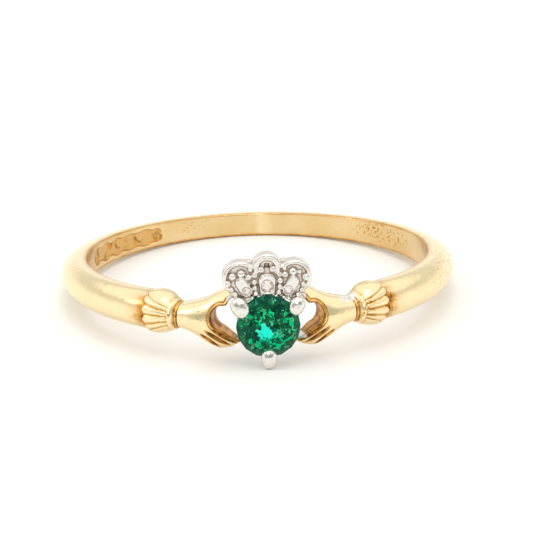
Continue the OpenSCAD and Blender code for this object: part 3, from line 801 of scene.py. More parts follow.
class Shader:
    """The nodes of a new material or world."""

    def __init__(self, owner):
        owner.use_nodes = True
        self.owner, self.tree = owner, owner.node_tree
        self.tree.nodes.clear()

    def node(self, kind, settings, sockets, output=0):
        """A node of a type, with its settings made first and then its sockets set or linked."""
        node = self.tree.nodes.new(kind)
        for name, value in settings.items():
            setattr(node, name, value)
        for name, value in sockets.items():
            if isinstance(value, Value):
                self.tree.links.new(value.socket, node.inputs[name])
            else:
                node.inputs[name].default_value = value
        return Value(self, node.outputs[output]) if node.outputs else None

    def place(self):
        """The point on the surface, in metres, as Object coordinates."""
        return self.node("ShaderNodeTexCoord", {}, {}, "Object")

    def painted(self, name):
        """A number stored on the mesh."""
        return self.node("ShaderNodeAttribute", {"attribute_name": name}, {}, "Fac")

    def noise(self, size, detail=3.0, roughness=0.55):
        """Cloudy noise from 0 to 1, whose patches are about a size across."""
        sockets = {"Vector": self.place(), "Scale": 1.0 / size, "Detail": detail, "Roughness": roughness}
        return self.node("ShaderNodeTexNoise", {}, sockets)

    def cells(self, size):
        """A colour by chance for each cell of a mosaic, whose cells are about a size across."""
        return self.node("ShaderNodeTexVoronoi", {}, {"Vector": self.place(), "Scale": 1 / size}, "Color")

    def chance(self, size, channel):
        """A number by chance for each cell of a mosaic: one channel of the cells' colours."""
        return self.node("ShaderNodeSeparateColor", {}, {"Color": self.cells(size)}, channel)

    def axis(self, vector, name):
        """One coordinate of a vector."""
        return self.node("ShaderNodeSeparateXYZ", {}, {"Vector": vector}, name)

    def colours(self, share, first, second):
        """Colour that goes from first at 0 to second at 1."""
        return self.node("ShaderNodeMix", {"data_type": "RGBA"}, {0: share, 6: first, 7: second}, 2)

    def bump(self, height, depth):
        """Normal of a surface raised by a height times a depth in metres."""
        return self.node("ShaderNodeBump", {}, {"Height": height, "Distance": depth, "Strength": 1.0})

    def finish(self, sockets, **volume):
        """Ends the material in a Principled shader with these sockets, and a volume if one is given."""
        surface = self.node("ShaderNodeBsdfPrincipled", {}, sockets)
        self.node("ShaderNodeOutputMaterial", {}, {"Surface": surface, **volume})
        return self.owner


def rgba(colour):
    """A colour with full alpha."""
    return (*colour, 1.0)


def worn_gold(colours):
    """Pale yellow gold: polished, with fine dents and pits, brown tarnish, painted shade and reflected colour
    at the gap and the hole's edges, pale solder and a dull inside.
    """
    s = Shader(bpy.data.materials.new("worn_yellow_gold"))
    cloud, dents, grain = s.noise(1.6 * MM), s.noise(0.35 * MM, 2.0), s.noise(0.1 * MM, 4.0)
    blots, broad = s.noise(0.5 * MM, 5.0, 0.65).step(0.4, 0.62), s.noise(4.0 * MM, 1.0).step(0.35, 0.65)
    pits = s.noise(0.13 * MM, 2.0).step(0.56, 0.68) * s.painted("wear")
    panel, inside = s.painted("panel"), s.painted("inside")
    # The painted tarnish attribute also holds painted shade and reflected colour at the gap and the finger
    # hole's edges
    tarnish_and_shade = (s.painted("tarnish_and_shade") * (0.6 + 0.5 * blots) + 0.65 * pits + 0.35 * panel).limited()
    solder = (s.painted("solder") * 1.8 - 0.8 * blots).limited()
    film = cloud.step(0.3, 0.8) * 0.08 + dents.step(0.35, 0.7) * 0.06 + (0.5 + 0.35 * broad) * inside
    clean = s.colours((film + panel).limited(), rgba(colours.gold), rgba(colours.film))
    amber_and_reflection = s.colours(tarnish_and_shade.step(0.0, 0.5), clean, rgba(colours.amber_and_reflection))
    stained_and_shaded = s.colours(tarnish_and_shade.step(0.45, 1.0), amber_and_reflection, rgba(colours.tarnish_and_shade))
    waves = (dents * 1.3 + cloud * 0.6) * (1 - 0.65 * inside)
    return s.finish({
        "Base Color": s.colours(solder, stained_and_shaded, rgba(colours.solder)),
        "Metallic": 1.0 - 0.25 * tarnish_and_shade,
        "Roughness": (0.1 + 0.1 * grain + 0.3 * tarnish_and_shade + 0.1 * solder).limited(),
        "Normal": s.bump(waves + dents * solder * 3.0 + grain * 0.4 - pits, 0.012 * MM),
    })


def white_gold(colours):
    """Polished white gold with fine dents, small dull spots, and grime with painted shade between the beads
    and on the crown's side walls.
    """
    s = Shader(bpy.data.materials.new("polished_white_gold"))
    # Grime and painted shade, in the hollows and on the crown's side walls
    grime_and_shade = (s.painted("grime_and_shade") * (0.6 + 0.8 * s.noise(0.3 * MM))).limited()
    dents, grain = s.noise(0.15 * MM, 2.0), s.noise(0.05 * MM, 4.0)
    spots = 0.5 * s.noise(0.11 * MM, 2.0).step(0.56, 0.68)
    clean = s.colours(spots, rgba(colours.white_gold), rgba(colours.spot))
    return s.finish({
        "Base Color": s.colours(grime_and_shade, clean, rgba(colours.grime_and_shade)),
        "Metallic": 1.0,
        "Roughness": (0.12 + 0.1 * grain + 0.3 * grime_and_shade).limited(),
        "Normal": s.bump(dents * 1.2 + grain * 0.2, 0.015 * MM),
    })


def mosaic(s, size, tilt):
    """Normal that leans another way in each cell of a mosaic, like many small facets behind each other."""
    cells = s.cells(size)
    normal = s.node("ShaderNodeNewGeometry", {}, {}, "Normal")
    lean = cells.vector("SUBTRACT", (0.5, 0.5, 0.5)).vector("MULTIPLY", (tilt, tilt, tilt))
    return normal.vector("ADD", lean).vector("NORMALIZE")


def from_axis(s, place, across):
    """Distance from the line through a place straight towards the viewer, in shares of a length."""
    beside = s.place().vector("SUBTRACT", tuple(place))
    return beside.vector("MULTIPLY", (1 / across, 0.0, 1 / across)).vector("LENGTH")


# Size of the emerald's large cells and of its flecks
CELL, FLECK = 0.3 * MM, 0.11 * MM
# The emerald's painted flash, a painted highlight: its place from the middle of the stone, and its radius
PAINTED_FLASH_PLACE, PAINTED_FLASH_R = Vector((-0.13, 0.0, -0.1)) * MM, 0.56 * MM
# How densely the glass is coloured: its absorption in each metre
ABSORPTION = 2800.0


def emerald_glass(colours):
    """Emerald: dark green glass with painted darker and lighter cells, a painted darker rim, bright green
    flecks in clusters and one painted flash.

    The glass takes out red and blue light with depth. Its colour is painted darker or lighter by chance in
    each large cell as painted shade and highlight of facets, and darker near the girdle as painted shade. A
    fleck is a small cell of the mosaic that mirrors light, as a back facet does that sends it forward again.
    The painted flash is a round patch of brighter mirror, a painted highlight fixed on the stone, whose edge
    is ragged by noise.
    """
    s = Shader(bpy.data.materials.new("emerald_green"))
    depth = s.node("ShaderNodeVolumeAbsorption", {}, {"Color": rgba(colours.emerald), "Density": ABSORPTION})
    low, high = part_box("emerald")
    centre = (low + high) / 2
    # Painted shade: the glass is darker near its girdle
    rim = from_axis(s, centre, EMERALD_R).step(0.72, 0.98)
    clusters = s.noise(0.4 * MM, 3.0, 0.6).step(0.48, 0.54)
    flecks = s.chance(FLECK, "Green").step(0.38, 0.48) * clusters * (1 - rim)
    # Painted highlight: the flash is a fixed round mirror patch in a brighter colour, with a ragged edge
    ragged = from_axis(s, centre + PAINTED_FLASH_PLACE, PAINTED_FLASH_R) + 2.0 * s.noise(0.24 * MM, 3.0) - 1.0
    painted_flash = 1 - ragged.step(0.62, 0.72)
    # Painted shade and highlight: each large cell is darker or lighter by chance
    light = s.chance(CELL, "Blue").step(0.42, 0.52)
    glass = s.colours(light, rgba(colours.glass_painted_dark), rgba(colours.glass_painted_light))
    rim_shaded = s.colours(rim * 0.7, glass, rgba(colours.glass_rim_shade))
    lit = s.colours(flecks, rim_shaded, rgba(colours.fleck))
    return s.finish({
        "Base Color": s.colours(painted_flash, lit, rgba(colours.painted_flash)), "Metallic": (flecks + painted_flash).limited(),
        "Roughness": 0.03, "IOR": 1.72, "Transmission Weight": 1.0,
        "Specular Tint": rgba(colours.glass_shine), "Normal": mosaic(s, CELL, 0.24)}, Volume=depth)


def small_diamond(colours):
    """Small stones: bright, with fine facets that mirror light and dark by turns, and a colour painted darker
    and rosier in patches as painted shade.
    """
    s = Shader(bpy.data.materials.new("small_diamond"))
    # Painted shade: cloudy patches of darker, rosier colour stand in for dark facets
    return s.finish({
        "Base Color": s.colours(s.noise(0.12 * MM), rgba(colours.diamond), rgba(colours.diamond_shade)),
        "Metallic": 0.75, "Roughness": 0.08, "Coat Weight": 0.6, "Normal": mosaic(s, 0.1 * MM, 0.9),
    })


def plain_floor(colours):
    """Matt white floor."""
    s = Shader(bpy.data.materials.new("white_floor"))
    glow = {"Emission Color": rgba(colours.floor), "Emission Strength": 0.06}
    return s.finish({"Base Color": rgba(colours.floor), "Roughness": 0.6, **glow})


# White gold head: crown, claws and basket

# Depth of the emerald below its girdle in shares of its diameter, and the lean of the side diamonds' plates
PAVILION, PLATE_TILT = 0.43, math.radians(31)
# Radius of the crown's back edge and of the plates' front edges, and how far its rim stands above the plates
BACK_EDGE, PLATE_EDGE, RIM_RISE = 0.12 * MM, 0.05 * MM, 0.03 * MM
# Depth of the dish for the middle diamond and for a side diamond
MIDDLE_DISH, SIDE_DISH = 0.3 * MM, 0.2 * MM
# Slot in the top lobe: half width, lower and upper end above the lobe's middle, depth
SLOT_HALF, SLOT_LOW, SLOT_HIGH, SLOT_DEPTH = 0.11 * MM, 0.02 * MM, 0.26 * MM, 0.2 * MM
# How soft the slot's sides and its ends are
SLOT_SIDE, SLOT_END = 0.04 * MM, 0.05 * MM
# Arch on the top lobe: its radius and its wire's, and how far it lies below the lobe's middle and behind the
# front
ARCH_R, ARCH_WIRE, ARCH_DROP, ARCH_SUNK = 0.52 * MM, 0.11 * MM, 0.02 * MM, 0.09 * MM
# Grain of the fused head in millimetres, and how often it is relaxed
HEAD_GRAIN, HEAD_PASSES = 0.0256, 2
# Rounds over which the head is evened out to find its hollows, and the depth at which one is fully painted
# with grime and shade
HOLLOW_ROUNDS, HOLLOW_DEPTH = 9, 0.019 * MM
# Painted shade on the crown's side walls: its share, how far behind the front it starts, and how softly it
# starts and ends
WALL_SHADE, WALL_START, WALL_FRONT, WALL_BACK = 0.3, 0.06 * MM, 0.1 * MM, 0.12 * MM


def head_sizes(sizes):
    """The head's sizes, and the places that follow from them."""
    h = SimpleNamespace(sizes=sizes)
    h.emerald_z = -sizes.emerald_drop
    h.girdle = FINGER_R + sizes.emerald_lift + PAVILION * 2 * EMERALD_R
    h.back = FINGER_R + sizes.crown_lift
    h.face = h.back + sizes.crown_plate
    h.front = h.face + sizes.crown_relief
    h.floor = mix(h.face, h.front, 0.4)
    h.top_r, h.side_r = sizes.lobe / 2, sizes.side_lobe / 2
    h.top_lobe = np.array([0.0, sizes.crown_rise - h.top_r])
    h.side_lobe = np.array([CROWN_W / 2 - h.side_r, sizes.crown_rise - sizes.shoulder_drop - h.side_r])
    h.foot_x = 0.78 * CROWN_W / 2
    h.foot_z = h.emerald_z + 0.83 * EMERALD_R
    h.corner_z = h.emerald_z + 0.91 * EMERALD_R
    h.plate_z = mix(h.foot_z, h.side_lobe[1], 0.65)
    h.middle_half = sizes.middle_diamond / 2 + sizes.plate_rim
    h.side_half = sizes.side_diamond / 2 + 0.55 * sizes.plate_rim
    h.side_plate = np.array([0.87 * h.side_lobe[0], h.plate_z - 0.02 * h.side_r])
    h.basket_back = FINGER_R + sizes.basket_lift
    return h


# Beads of the crown: distance to the right of the middle, height, and a radius that BEAD_SIZE enlarges.
# BEAD_LIFT is how far their middles lie before the sunk face
BEAD_SIZE, BEAD_LIFT = 1.14, 0.02 * MM
BEADS = np.array([
    [-0.27, 2.58, 0.15], [0.27, 2.60, 0.15],
    [-1.66, 2.29, 0.17], [-1.23, 2.42, 0.18], [-0.89, 2.23, 0.14], [-0.80, 2.60, 0.11], [-0.59, 2.33, 0.14],
    [-0.61, 1.98, 0.13], [-0.59, 1.68, 0.12], [-0.54, 1.40, 0.12], [-1.87, 1.94, 0.15], [-1.71, 1.64, 0.12],
    [-1.53, 1.40, 0.12], [-1.40, 1.20, 0.10], [-1.14, 1.17, 0.09], [-0.94, 1.14, 0.08], [-0.74, 1.19, 0.09],
    [-1.37, 2.08, 0.12], [-0.93, 1.87, 0.11],
    [0.58, 2.35, 0.13], [0.86, 2.31, 0.14], [0.84, 2.62, 0.10], [1.24, 2.45, 0.18], [1.84, 2.15, 0.17],
    [0.62, 2.01, 0.14], [0.60, 1.70, 0.13], [0.54, 1.43, 0.12], [1.72, 1.80, 0.12], [1.64, 1.52, 0.11],
    [1.46, 1.30, 0.11], [1.27, 1.19, 0.09], [1.00, 1.14, 0.09], [0.78, 1.19, 0.09], [1.56, 2.42, 0.10],
    [-0.42, 1.25, 0.08], [0.40, 1.25, 0.08],
]) * MM


def circle(centre, radius, count=96, start=0.0, end=2 * math.pi):
    """Points on a flat circle or on part of one."""
    turn = np.linspace(start, end, count, endpoint=False)[:, None]
    return centre + radius * np.concatenate([np.cos(turn), np.sin(turn)], axis=1)


def crown_outline(h, turn):
    """Outline of the crown at angles round its middle: the furthest of three lobes and an angular foot."""
    middle = np.array([0.0, mix(h.foot_z, h.top_lobe[1], 0.52)])
    ray = np.stack([np.cos(turn), np.sin(turn)], axis=-1)
    centres = np.array([h.top_lobe, h.side_lobe, h.side_lobe * [-1, 1]]) - middle
    radii = np.array([h.top_r, h.side_r, h.side_r])
    near = ray @ centres.T
    inside = radii ** 2 - (np.sum(centres ** 2, axis=1) - near ** 2)
    lobes = np.where(inside > 0, near + np.sqrt(np.clip(inside, 0, None)), 0)
    wide = CROWN_W / 2
    corners = np.array([
        [wide, h.side_lobe[1]], [h.foot_x, h.corner_z], [0.72 * h.foot_x, h.foot_z], [0, 1.13 * h.foot_z],
        [-0.72 * h.foot_x, h.foot_z], [-h.foot_x, h.corner_z], [-wide, h.side_lobe[1]]]) - middle
    sides = np.concatenate([mix(a, b, np.linspace(0, 1, 60)[:, None]) for a, b in zip(corners, corners[1:])])
    bearing = np.unwrap(np.arctan2(sides[:, 1], sides[:, 0]))
    order = np.argsort(bearing)
    wrapped = (turn - bearing[order][0]) % (2 * math.pi) + bearing[order][0]
    foot = np.interp(wrapped, bearing[order], np.linalg.norm(sides[order], axis=1), right=0.0)
    reach = np.max(np.concatenate([lobes, foot[:, None]], axis=1), axis=1)
    return evened(middle + ray * reach[:, None], 3), middle


def evened(loop, by):
    """A closed outline softened by the mean of each point and those up to a number of places away."""
    return sum(np.roll(loop, k, axis=0) for k in range(-by, by + 1)) / (2 * by + 1)


def add_crown_plate(shell, h):
    """Adds the crown's body: a profile carried round its outline.

    The profile starts behind the middle, rounds over the back edge, climbs the side, forms the smooth rim
    and drops to the sunk face, where it goes back to the middle. The rim fades out towards the foot.
    """
    sizes = h.sizes
    turn = np.linspace(0, 2 * math.pi, 480, endpoint=False)
    outline, middle = crown_outline(h, turn)
    loop = np.concatenate([outline[-1:], outline, outline[:1]])
    outward = outline - offset(loop, 1.0)[1:-1]
    lip = ease((outline[:, 1] - h.corner_z) / (h.side_lobe[1] - h.corner_z))
    bulge = sizes.rim / 2
    rows = [on_head(np.full(len(turn), middle[0]), middle[1], h.back)]

    def ring(inset, out):
        spot = outline - outward * inset
        rows.append(on_head(spot[:, 0], spot[:, 1], out))

    for a in np.linspace(0, math.pi / 2, 7):
        ring(BACK_EDGE * (1 - math.sin(a)), h.back + BACK_EDGE * (1 - math.cos(a)))
    top = mix(h.floor, h.front + RIM_RISE, lip)
    for a in np.linspace(0, math.pi, 15):
        ring(bulge * (1 - math.cos(a)), top - bulge * (1 - math.sin(a)))
    floor_edge = outline - outward * sizes.rim
    for share in np.concatenate([np.linspace(1, 0.4, 40)[1:], np.linspace(0.4, 0, 10)[1:]]):
        x, z = mix(middle, floor_edge, share).T
        up = z - h.top_lobe[1]
        slot = (ease((SLOT_HALF - np.abs(x)) / SLOT_SIDE + 0.5)
                * ease((up - SLOT_LOW) / SLOT_END) * ease((SLOT_HIGH - up) / SLOT_END))
        rows.append(on_head(x, z, np.minimum(h.floor, top - bulge) - SLOT_DEPTH * slot))
    shell.grid(np.stack(rows), wrap=True)


def add_balls(shell, places, radii, fine=14):
    """Adds balls at places on the head, as grids of longitude and latitude."""
    lon = np.linspace(0, 2 * math.pi, 2 * fine, endpoint=False)
    lat = np.linspace(-math.pi / 2, math.pi / 2, fine + 1)[:, None]
    unit = np.stack([np.cos(lat) * np.cos(lon), np.cos(lat) * np.sin(lon), np.sin(lat) + 0 * lon], axis=-1)
    for place, radius in zip(places, radii):
        shell.grid(on_head(*place) + radius * unit, wrap=True)


def add_plate(shell, outline, low, high, seat, seat_r, dish):
    """Adds a raised plate with a flat back, a rounded front edge and a round dish for a stone.

    Each row of points goes round. The rows run from behind the seat out to the outline, up the side,
    round a quarter circle onto the front, in to the seat's circle and down a quarter ellipse.
    """
    away = outline - seat
    reach = np.linalg.norm(away, axis=1, keepdims=True)
    ray, edge = away / reach, PLATE_EDGE
    arc = np.linspace(0, math.pi / 2, 6)
    rows = [(0 * reach, low), (reach, low)]
    rows += [(reach - edge * (1 - math.cos(a)), high - edge * (1 - math.sin(a))) for a in arc]
    rows += [(mix(reach - edge, seat_r, k), high) for k in (0.35, 0.7)]
    rows += [(seat_r * math.cos(a) + 0 * reach, high - dish * math.sin(a)) for a in arc]
    spots = [(seat + ray * distance, out) for distance, out in rows]
    shell.grid(np.stack([on_head(spot[:, 0], spot[:, 1], out) for spot, out in spots]), wrap=True)


def add_plates(shell, h):
    """Adds the three plates that hold the diamonds, and the low webs in the notches between the lobes.

    The middle plate is a block with its top corners cut. A side plate is a bar with round ends that leans
    outwards, with its diamond in the lower end.
    """
    w = h.middle_half
    corners = np.array([[0.8, -1.02], [1, 0.85], [0.62, 1.4], [-0.62, 1.4], [-1, 0.85], [-0.8, -1.02]])
    loop = np.concatenate([mix(a, b, np.linspace(0, 1, 16, endpoint=False)[:, None])
                           for a, b in zip(corners, np.roll(corners, -1, axis=0))])
    middle = np.array([0.0, h.plate_z])
    add_plate(shell, evened(middle + loop * w, 3), h.back, h.front, middle, 0.77 * w, MIDDLE_DISH)
    web_r, straight = 0.42 * h.side_r, np.linspace(0, 1, 14)[1:-1, None]
    for side in (1, -1):
        axis = np.array([side * math.sin(PLATE_TILT), math.cos(PLATE_TILT)])
        half, place = h.side_half, h.side_plate * [side, 1]
        top, seat = place + 0.9 * half * axis, place - 0.9 * half * axis
        bearing = math.atan2(axis[1], axis[0])
        upper = circle(top, half, 40, bearing - math.pi / 2, bearing + math.pi / 2)
        lower = circle(seat, half, 40, bearing + math.pi / 2, bearing + 1.5 * math.pi)
        outline = np.concatenate([
            upper, mix(upper[-1], lower[0], straight), lower, mix(lower[-1], upper[0], straight)])
        add_plate(shell, outline, h.back, h.front, seat, 0.84 * half, SIDE_DISH)
        web = np.array([side * 0.67 * h.side_lobe[0], h.side_lobe[1] + h.side_r - 1.14 * web_r])
        add_plate(shell, circle(web, web_r), h.back, mix(h.back, h.face, 0.7), web, 0.5 * web_r, 0.0)


def add_top_arch(shell, h):
    """Adds the arch that makes the rim of the top lobe wide: a half ring of round wire beside the rim."""
    arch = circle(h.top_lobe - [0, ARCH_DROP], ARCH_R, 40, -0.15 * math.pi, 1.15 * math.pi)
    wire = on_head(arch[:, 0], arch[:, 1], h.front - ARCH_SUNK)
    add_tube(shell, wire, np.full(len(arch), ARCH_WIRE))


def add_tube(shell, path, radii, sides=20):
    """Adds a round tube along a path, closed at both ends by small circles shrunk to a point."""
    path, radii = np.asarray(path, float), np.asarray(radii, float)[:, None, None]
    along = np.gradient(path, axis=0)
    along /= np.linalg.norm(along, axis=1, keepdims=True)
    first = np.cross(along, [1.0, 0.3, 0.2])
    first /= np.linalg.norm(first, axis=1, keepdims=True)
    second = np.cross(along, first)
    turn = np.linspace(0, 2 * math.pi, sides, endpoint=False)[None, :, None]
    rows = path[:, None] + radii * (np.cos(turn) * first[:, None] + np.sin(turn) * second[:, None])
    ends = [np.repeat(path[k][None, None], sides, axis=1) for k in (0, -1)]
    shell.grid(np.concatenate([ends[0], rows, ends[1]]), wrap=True)


# Tips of the claws, beside the middle of the emerald: distance to the right, height, turn of the long
# axis from upright to the left, width, length
CLAWS = (
    (-1.31 * MM, 0.97 * MM, math.radians(34), 0.86 * MM, 1.14 * MM),
    (1.36 * MM, 0.98 * MM, math.radians(-30), 0.78 * MM, 1.0 * MM),
    (0.0, -1.57 * MM, 0.0, 0.78 * MM, 1.06 * MM),
)


# Powers of the sines and cosines of a claw's drop: round its outline, from its edge to its middle, in depth
OUTLINE_POWER, SIDE_POWER, DEPTH_POWER = 0.9, 0.85, 0.9


def add_claw(shell, h, x, z, turn, width, long):
    """Adds one claw: a tapered wire up from the basket, and a polished drop over the emerald's edge.

    The drop is a superellipsoid, a little squarer than a ball: each sine and cosine keeps its sign and is
    raised to a power below 1.
    """
    sizes = h.sizes
    low, high = h.basket_back + sizes.wire / 2, h.girdle + sizes.claw_lift
    t = np.linspace(0, 1, 12)
    foot = (sizes.basket - sizes.wire) / 2 / math.hypot(x, z)
    reach = mix(foot, 1.0, t ** 0.8)
    wire = on_head(reach * x, h.emerald_z + reach * z, mix(low, high, t))
    add_tube(shell, wire, mix(sizes.wire / 2, 0.4 * width, t))
    lon = np.linspace(0, 2 * math.pi, 48, endpoint=False)
    lat = np.linspace(-math.pi / 2, math.pi / 2, 25)[:, None]

    def soft(wave, power):
        return np.sign(wave) * np.abs(wave) ** power

    up = long / 2 * soft(np.cos(lat), SIDE_POWER) * soft(np.sin(lon), OUTLINE_POWER)
    across = width / 2 * soft(np.cos(lat), SIDE_POWER) * soft(np.cos(lon), OUTLINE_POWER)
    out = sizes.claw_depth / 2 * soft(np.sin(lat), DEPTH_POWER) + 0 * lon
    c, s = math.cos(turn), math.sin(turn)
    drop = on_head(x + across * c - up * s, h.emerald_z + z + across * s + up * c, high + out)
    shell.grid(drop, wrap=True)


def add_basket(shell, h):
    """Adds the wire ring under the emerald, and the bar behind it that carries the crown."""
    sizes = h.sizes
    turn = np.linspace(0, 2 * math.pi, 72, endpoint=False)[:, None]
    around = np.linspace(0, 2 * math.pi, 20, endpoint=False)[None, :]
    reach = (sizes.basket - sizes.wire) / 2 + sizes.wire / 2 * np.cos(around)
    out = h.basket_back + sizes.wire / 2 * (1 + np.sin(around))
    ring = on_head(reach * np.cos(turn), h.emerald_z + reach * np.sin(turn), out)
    shell.grid(np.concatenate([ring, ring[:1]]), wrap=True)
    foot_z = h.emerald_z + sizes.basket / 2 - sizes.wire / 2
    top_z = h.foot_z + sizes.wire
    t = np.linspace(0, 1, 10)
    bar = on_head(0.0, mix(foot_z, top_z, t), mix(h.basket_back + sizes.wire / 2, h.back + 0.1 * MM, t))
    add_tube(shell, bar, np.full(10, 0.75 * sizes.wire))


def fused(piece, grain, passes):
    """The piece's overlapping shells as one closed surface, from a fine voxel grid, then relaxed."""
    grown = vertices_of(piece.data) / MM
    move_vertices(piece.data, grown)
    remesh = piece.modifiers.new("fuse", "REMESH")
    remesh.mode, remesh.voxel_size = "VOXEL", grain
    relax = piece.modifiers.new("relax", "SMOOTH")
    relax.factor, relax.iterations = 0.5, passes
    graph = bpy.context.evaluated_depsgraph_get()
    mesh = bpy.data.meshes.new_from_object(piece.evaluated_get(graph))
    piece.modifiers.clear()
    piece.data = mesh
    move_vertices(mesh, vertices_of(mesh) * MM)
    mesh.shade_smooth()
    return piece


def paint_grime_and_shade(mesh, h):
    """Stores where the head is painted darker: grime and painted shade in its hollows, and painted shade
    lightly on the crown's side walls.
    """
    _, y, z = np.moveaxis(vertices_of(mesh), -1, 0)
    behind_front = ease((h.front - WALL_START + y) / WALL_FRONT)
    before_back = ease((-y - h.back) / WALL_BACK)
    # Painted shade on the crown's side walls, above its foot
    walls = WALL_SHADE * behind_front * before_back * (z > h.foot_z)
    paint(mesh, "grime_and_shade", np.maximum(ease(hollows(mesh, HOLLOW_ROUNDS) / HOLLOW_DEPTH), walls))


class RING_OT_gold_casting(bpy.types.Operator):
    """Build the worn band with its cuffs and hands"""

    bl_idname = "ring.gold_casting"
    bl_label = "Band and hands"

    def execute(self, context):
        gold = gold_sizes(context.scene.ring_gold)
        shell = Shell()
        add_hoop(shell, gold)
        add_hand(shell, gold, 1)
        add_hand(shell, gold, -1)
        piece = shell.build("gold_band_and_hands")
        paint_gold(piece.data, gold)
        move_vertices(piece.data, laid_down(vertices_of(piece.data)))
        piece.data.materials.append(worn_gold(context.scene.ring_colours))
        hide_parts("band_with_hands")
        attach(piece, "root")
        return {"FINISHED"}


class RING_OT_white_gold_head(bpy.types.Operator):
    """Build the crown, the claws and the basket as one casting"""

    bl_idname = "ring.white_gold_head"
    bl_label = "Crown, claws and basket"

    def execute(self, context):
        h = head_sizes(context.scene.ring_head)
        shell = Shell()
        add_crown_plate(shell, h)
        add_plates(shell, h)
        add_top_arch(shell, h)
        places = np.stack([BEADS[:, 0], BEADS[:, 1], np.full(len(BEADS), h.floor + BEAD_LIFT)], axis=-1)
        add_balls(shell, places, BEAD_SIZE * BEADS[:, 2])
        add_basket(shell, h)
        for claw in CLAWS:
            add_claw(shell, h, *claw)
        piece = fused(shell.build("white_gold_head"), HEAD_GRAIN, HEAD_PASSES)
        paint_grime_and_shade(piece.data, h)
        move_vertices(piece.data, laid_down(vertices_of(piece.data)))
        piece.data.materials.append(white_gold(context.scene.ring_colours))
        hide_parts("crown_setting")
        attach(piece, "root")
        return {"FINISHED"}


def dress(node, material):
    """Gives a stone of the frame its material."""
    stone = frame["nodes"][node]
    stone.data.materials.clear()
    stone.data.materials.append(material)


class RING_OT_stones(bpy.types.Operator):
    """Give the emerald and the three diamonds their finish"""

    bl_idname = "ring.stones"
    bl_label = "Stones"

    def execute(self, context):
        colours = context.scene.ring_colours
        dress("emerald", emerald_glass(colours))
        diamond = small_diamond(colours)
        for node in ("crown_diamond_left", "crown_diamond_centre", "crown_diamond_right"):
            dress(node, diamond)
        return {"FINISHED"}


def look_from(camera, distance, elevation, turn, roll):
    """Puts the camera at a distance from the middle of the ring, and rolls the picture."""
    flat = math.cos(elevation)
    away = Vector((-math.sin(turn) * flat, -math.cos(turn) * flat, math.sin(elevation)))
    aim = away.to_track_quat("Z", "Y").to_matrix().to_4x4()
    camera.matrix_world = Matrix.Translation(distance * away) @ aim @ Matrix.Rotation(roll, 4, "Z")


# Sideways shift of the picture, in shares of its width, and half the width of the floor
FRAME_SHIFT, FLOOR_HALF = 0.0171, 1.2
# Light from the dim room and from the white overhead
ROOM, CEILING = (0.29, 0.32, 0.26), (1.2, 1.18, 1.15)
# Lamps: name, place, width, power
SOFTBOXES = (
    ("front", (-0.02, -0.33, 0.16), 0.05, 0.06),
    ("overhead", (0.03, -0.06, 0.35), 0.2, 0.16),
    ("left", (-0.28, -0.05, 0.22), 0.12, 0.08),
)


def studio_light(strength):
    """Light from all round: white overhead and behind the ring, dimmer low down on the camera's side."""
    s = Shader(bpy.data.worlds.new("studio"))
    direction = s.node("ShaderNodeTexCoord", {}, {}, "Generated")
    up, back = s.axis(direction, "Z"), s.axis(direction, "Y")
    sky = up.step(0.42, 0.56)
    walls = (0.1 + 0.9 * back.step(-0.98, -0.3)) * (1 - 0.45 * up.step(0.0, 0.42))
    colour = s.colours(sky + walls * (1 - sky), rgba(ROOM), rgba(CEILING))
    background = s.node("ShaderNodeBackground", {}, {"Color": colour, "Strength": strength})
    s.node("ShaderNodeOutputWorld", {}, {"Surface": background})
    return s.owner


def add_floor(colours):
    """Adds the square floor under the ring."""
    mesh = bpy.data.meshes.new("floor")
    half, low = FLOOR_HALF, CAD_BOX[0].z
    corners = [(-half, -half, low), (half, -half, low), (half, half, low), (-half, half, low)]
    mesh.from_pydata(corners, [], [(0, 1, 2, 3)])
    mesh.materials.append(plain_floor(colours))
    floor = bpy.data.objects.new("floor", mesh)
    bpy.context.scene.collection.objects.link(floor)


def add_softbox(name, place, width, power):
    """Adds a square lamp that faces the ring."""
    light = bpy.data.lights.new(name, "AREA")
    light.shape, light.size, light.energy = "SQUARE", width, power
    lamp = bpy.data.objects.new(name, light)
    aim = Vector(place).to_track_quat("Z", "Y").to_matrix().to_4x4()
    lamp.matrix_world = Matrix.Translation(place) @ aim
    bpy.context.scene.collection.objects.link(lamp)


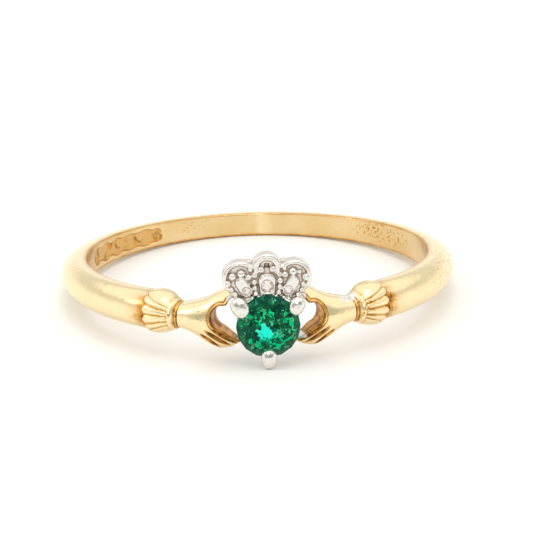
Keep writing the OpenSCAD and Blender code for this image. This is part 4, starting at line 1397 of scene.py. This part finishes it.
class RING_OT_stage(bpy.types.Operator):
    """Build the floor, the light and the camera"""

    bl_idname = "ring.stage"
    bl_label = "Floor, light and camera"

    def execute(self, context):
        scene, stage = context.scene, context.scene.ring_stage
        lens = bpy.data.cameras.new("camera")
        lens.lens, lens.sensor_width, lens.shift_x = stage.lens, 36.0, FRAME_SHIFT
        lens.clip_start, lens.clip_end = 0.001, 10.0
        camera = bpy.data.objects.new("camera", lens)
        scene.collection.objects.link(camera)
        look_from(camera, stage.distance, stage.elevation, stage.turn, stage.roll)
        scene.camera = camera
        scene.view_settings.view_transform = "Standard"
        add_floor(scene.ring_colours)
        scene.world = studio_light(stage.light)
        for softbox in SOFTBOXES:
            add_softbox(*softbox)
        return {"FINISHED"}


class RING_PT_panel(bpy.types.Panel):
    """Lists the ring's pieces"""

    bl_idname = "RING_PT_panel"
    bl_label = "Claddagh ring"
    bl_space_type = "VIEW_3D"
    bl_region_type = "UI"
    bl_category = "Ring"

    def draw(self, context):
        for group in ("ring_gold", "ring_head", "ring_colours", "ring_stage"):
            box = self.layout.box()
            settings = getattr(context.scene, group)
            for name in settings.bl_rna.properties.keys():
                if name not in ("rna_type", "name"):
                    box.prop(settings, name)
        for operator in OPERATORS:
            self.layout.operator(operator.bl_idname)


GROUPS = {
    "ring_gold": GoldCastingSizes,
    "ring_head": HeadSizes,
    "ring_colours": FinishColours,
    "ring_stage": StageSettings,
}
OPERATORS = (RING_OT_gold_casting, RING_OT_white_gold_head, RING_OT_stones, RING_OT_stage)


def register():
    for cls in (*GROUPS.values(), *OPERATORS, RING_PT_panel):
        bpy.utils.register_class(cls)
    for name, cls in GROUPS.items():
        setattr(bpy.types.Scene, name, bpy.props.PointerProperty(type=cls))


def unregister():
    for name in GROUPS:
        delattr(bpy.types.Scene, name)
    for cls in reversed((*GROUPS.values(), *OPERATORS, RING_PT_panel)):
        bpy.utils.unregister_class(cls)


def main():
    """Builds every piece and the stage."""
    register()
    bpy.ops.ring.gold_casting()
    bpy.ops.ring.white_gold_head()
    bpy.ops.ring.stones()
    bpy.ops.ring.stage()


if __name__ == "__main__":
    main()
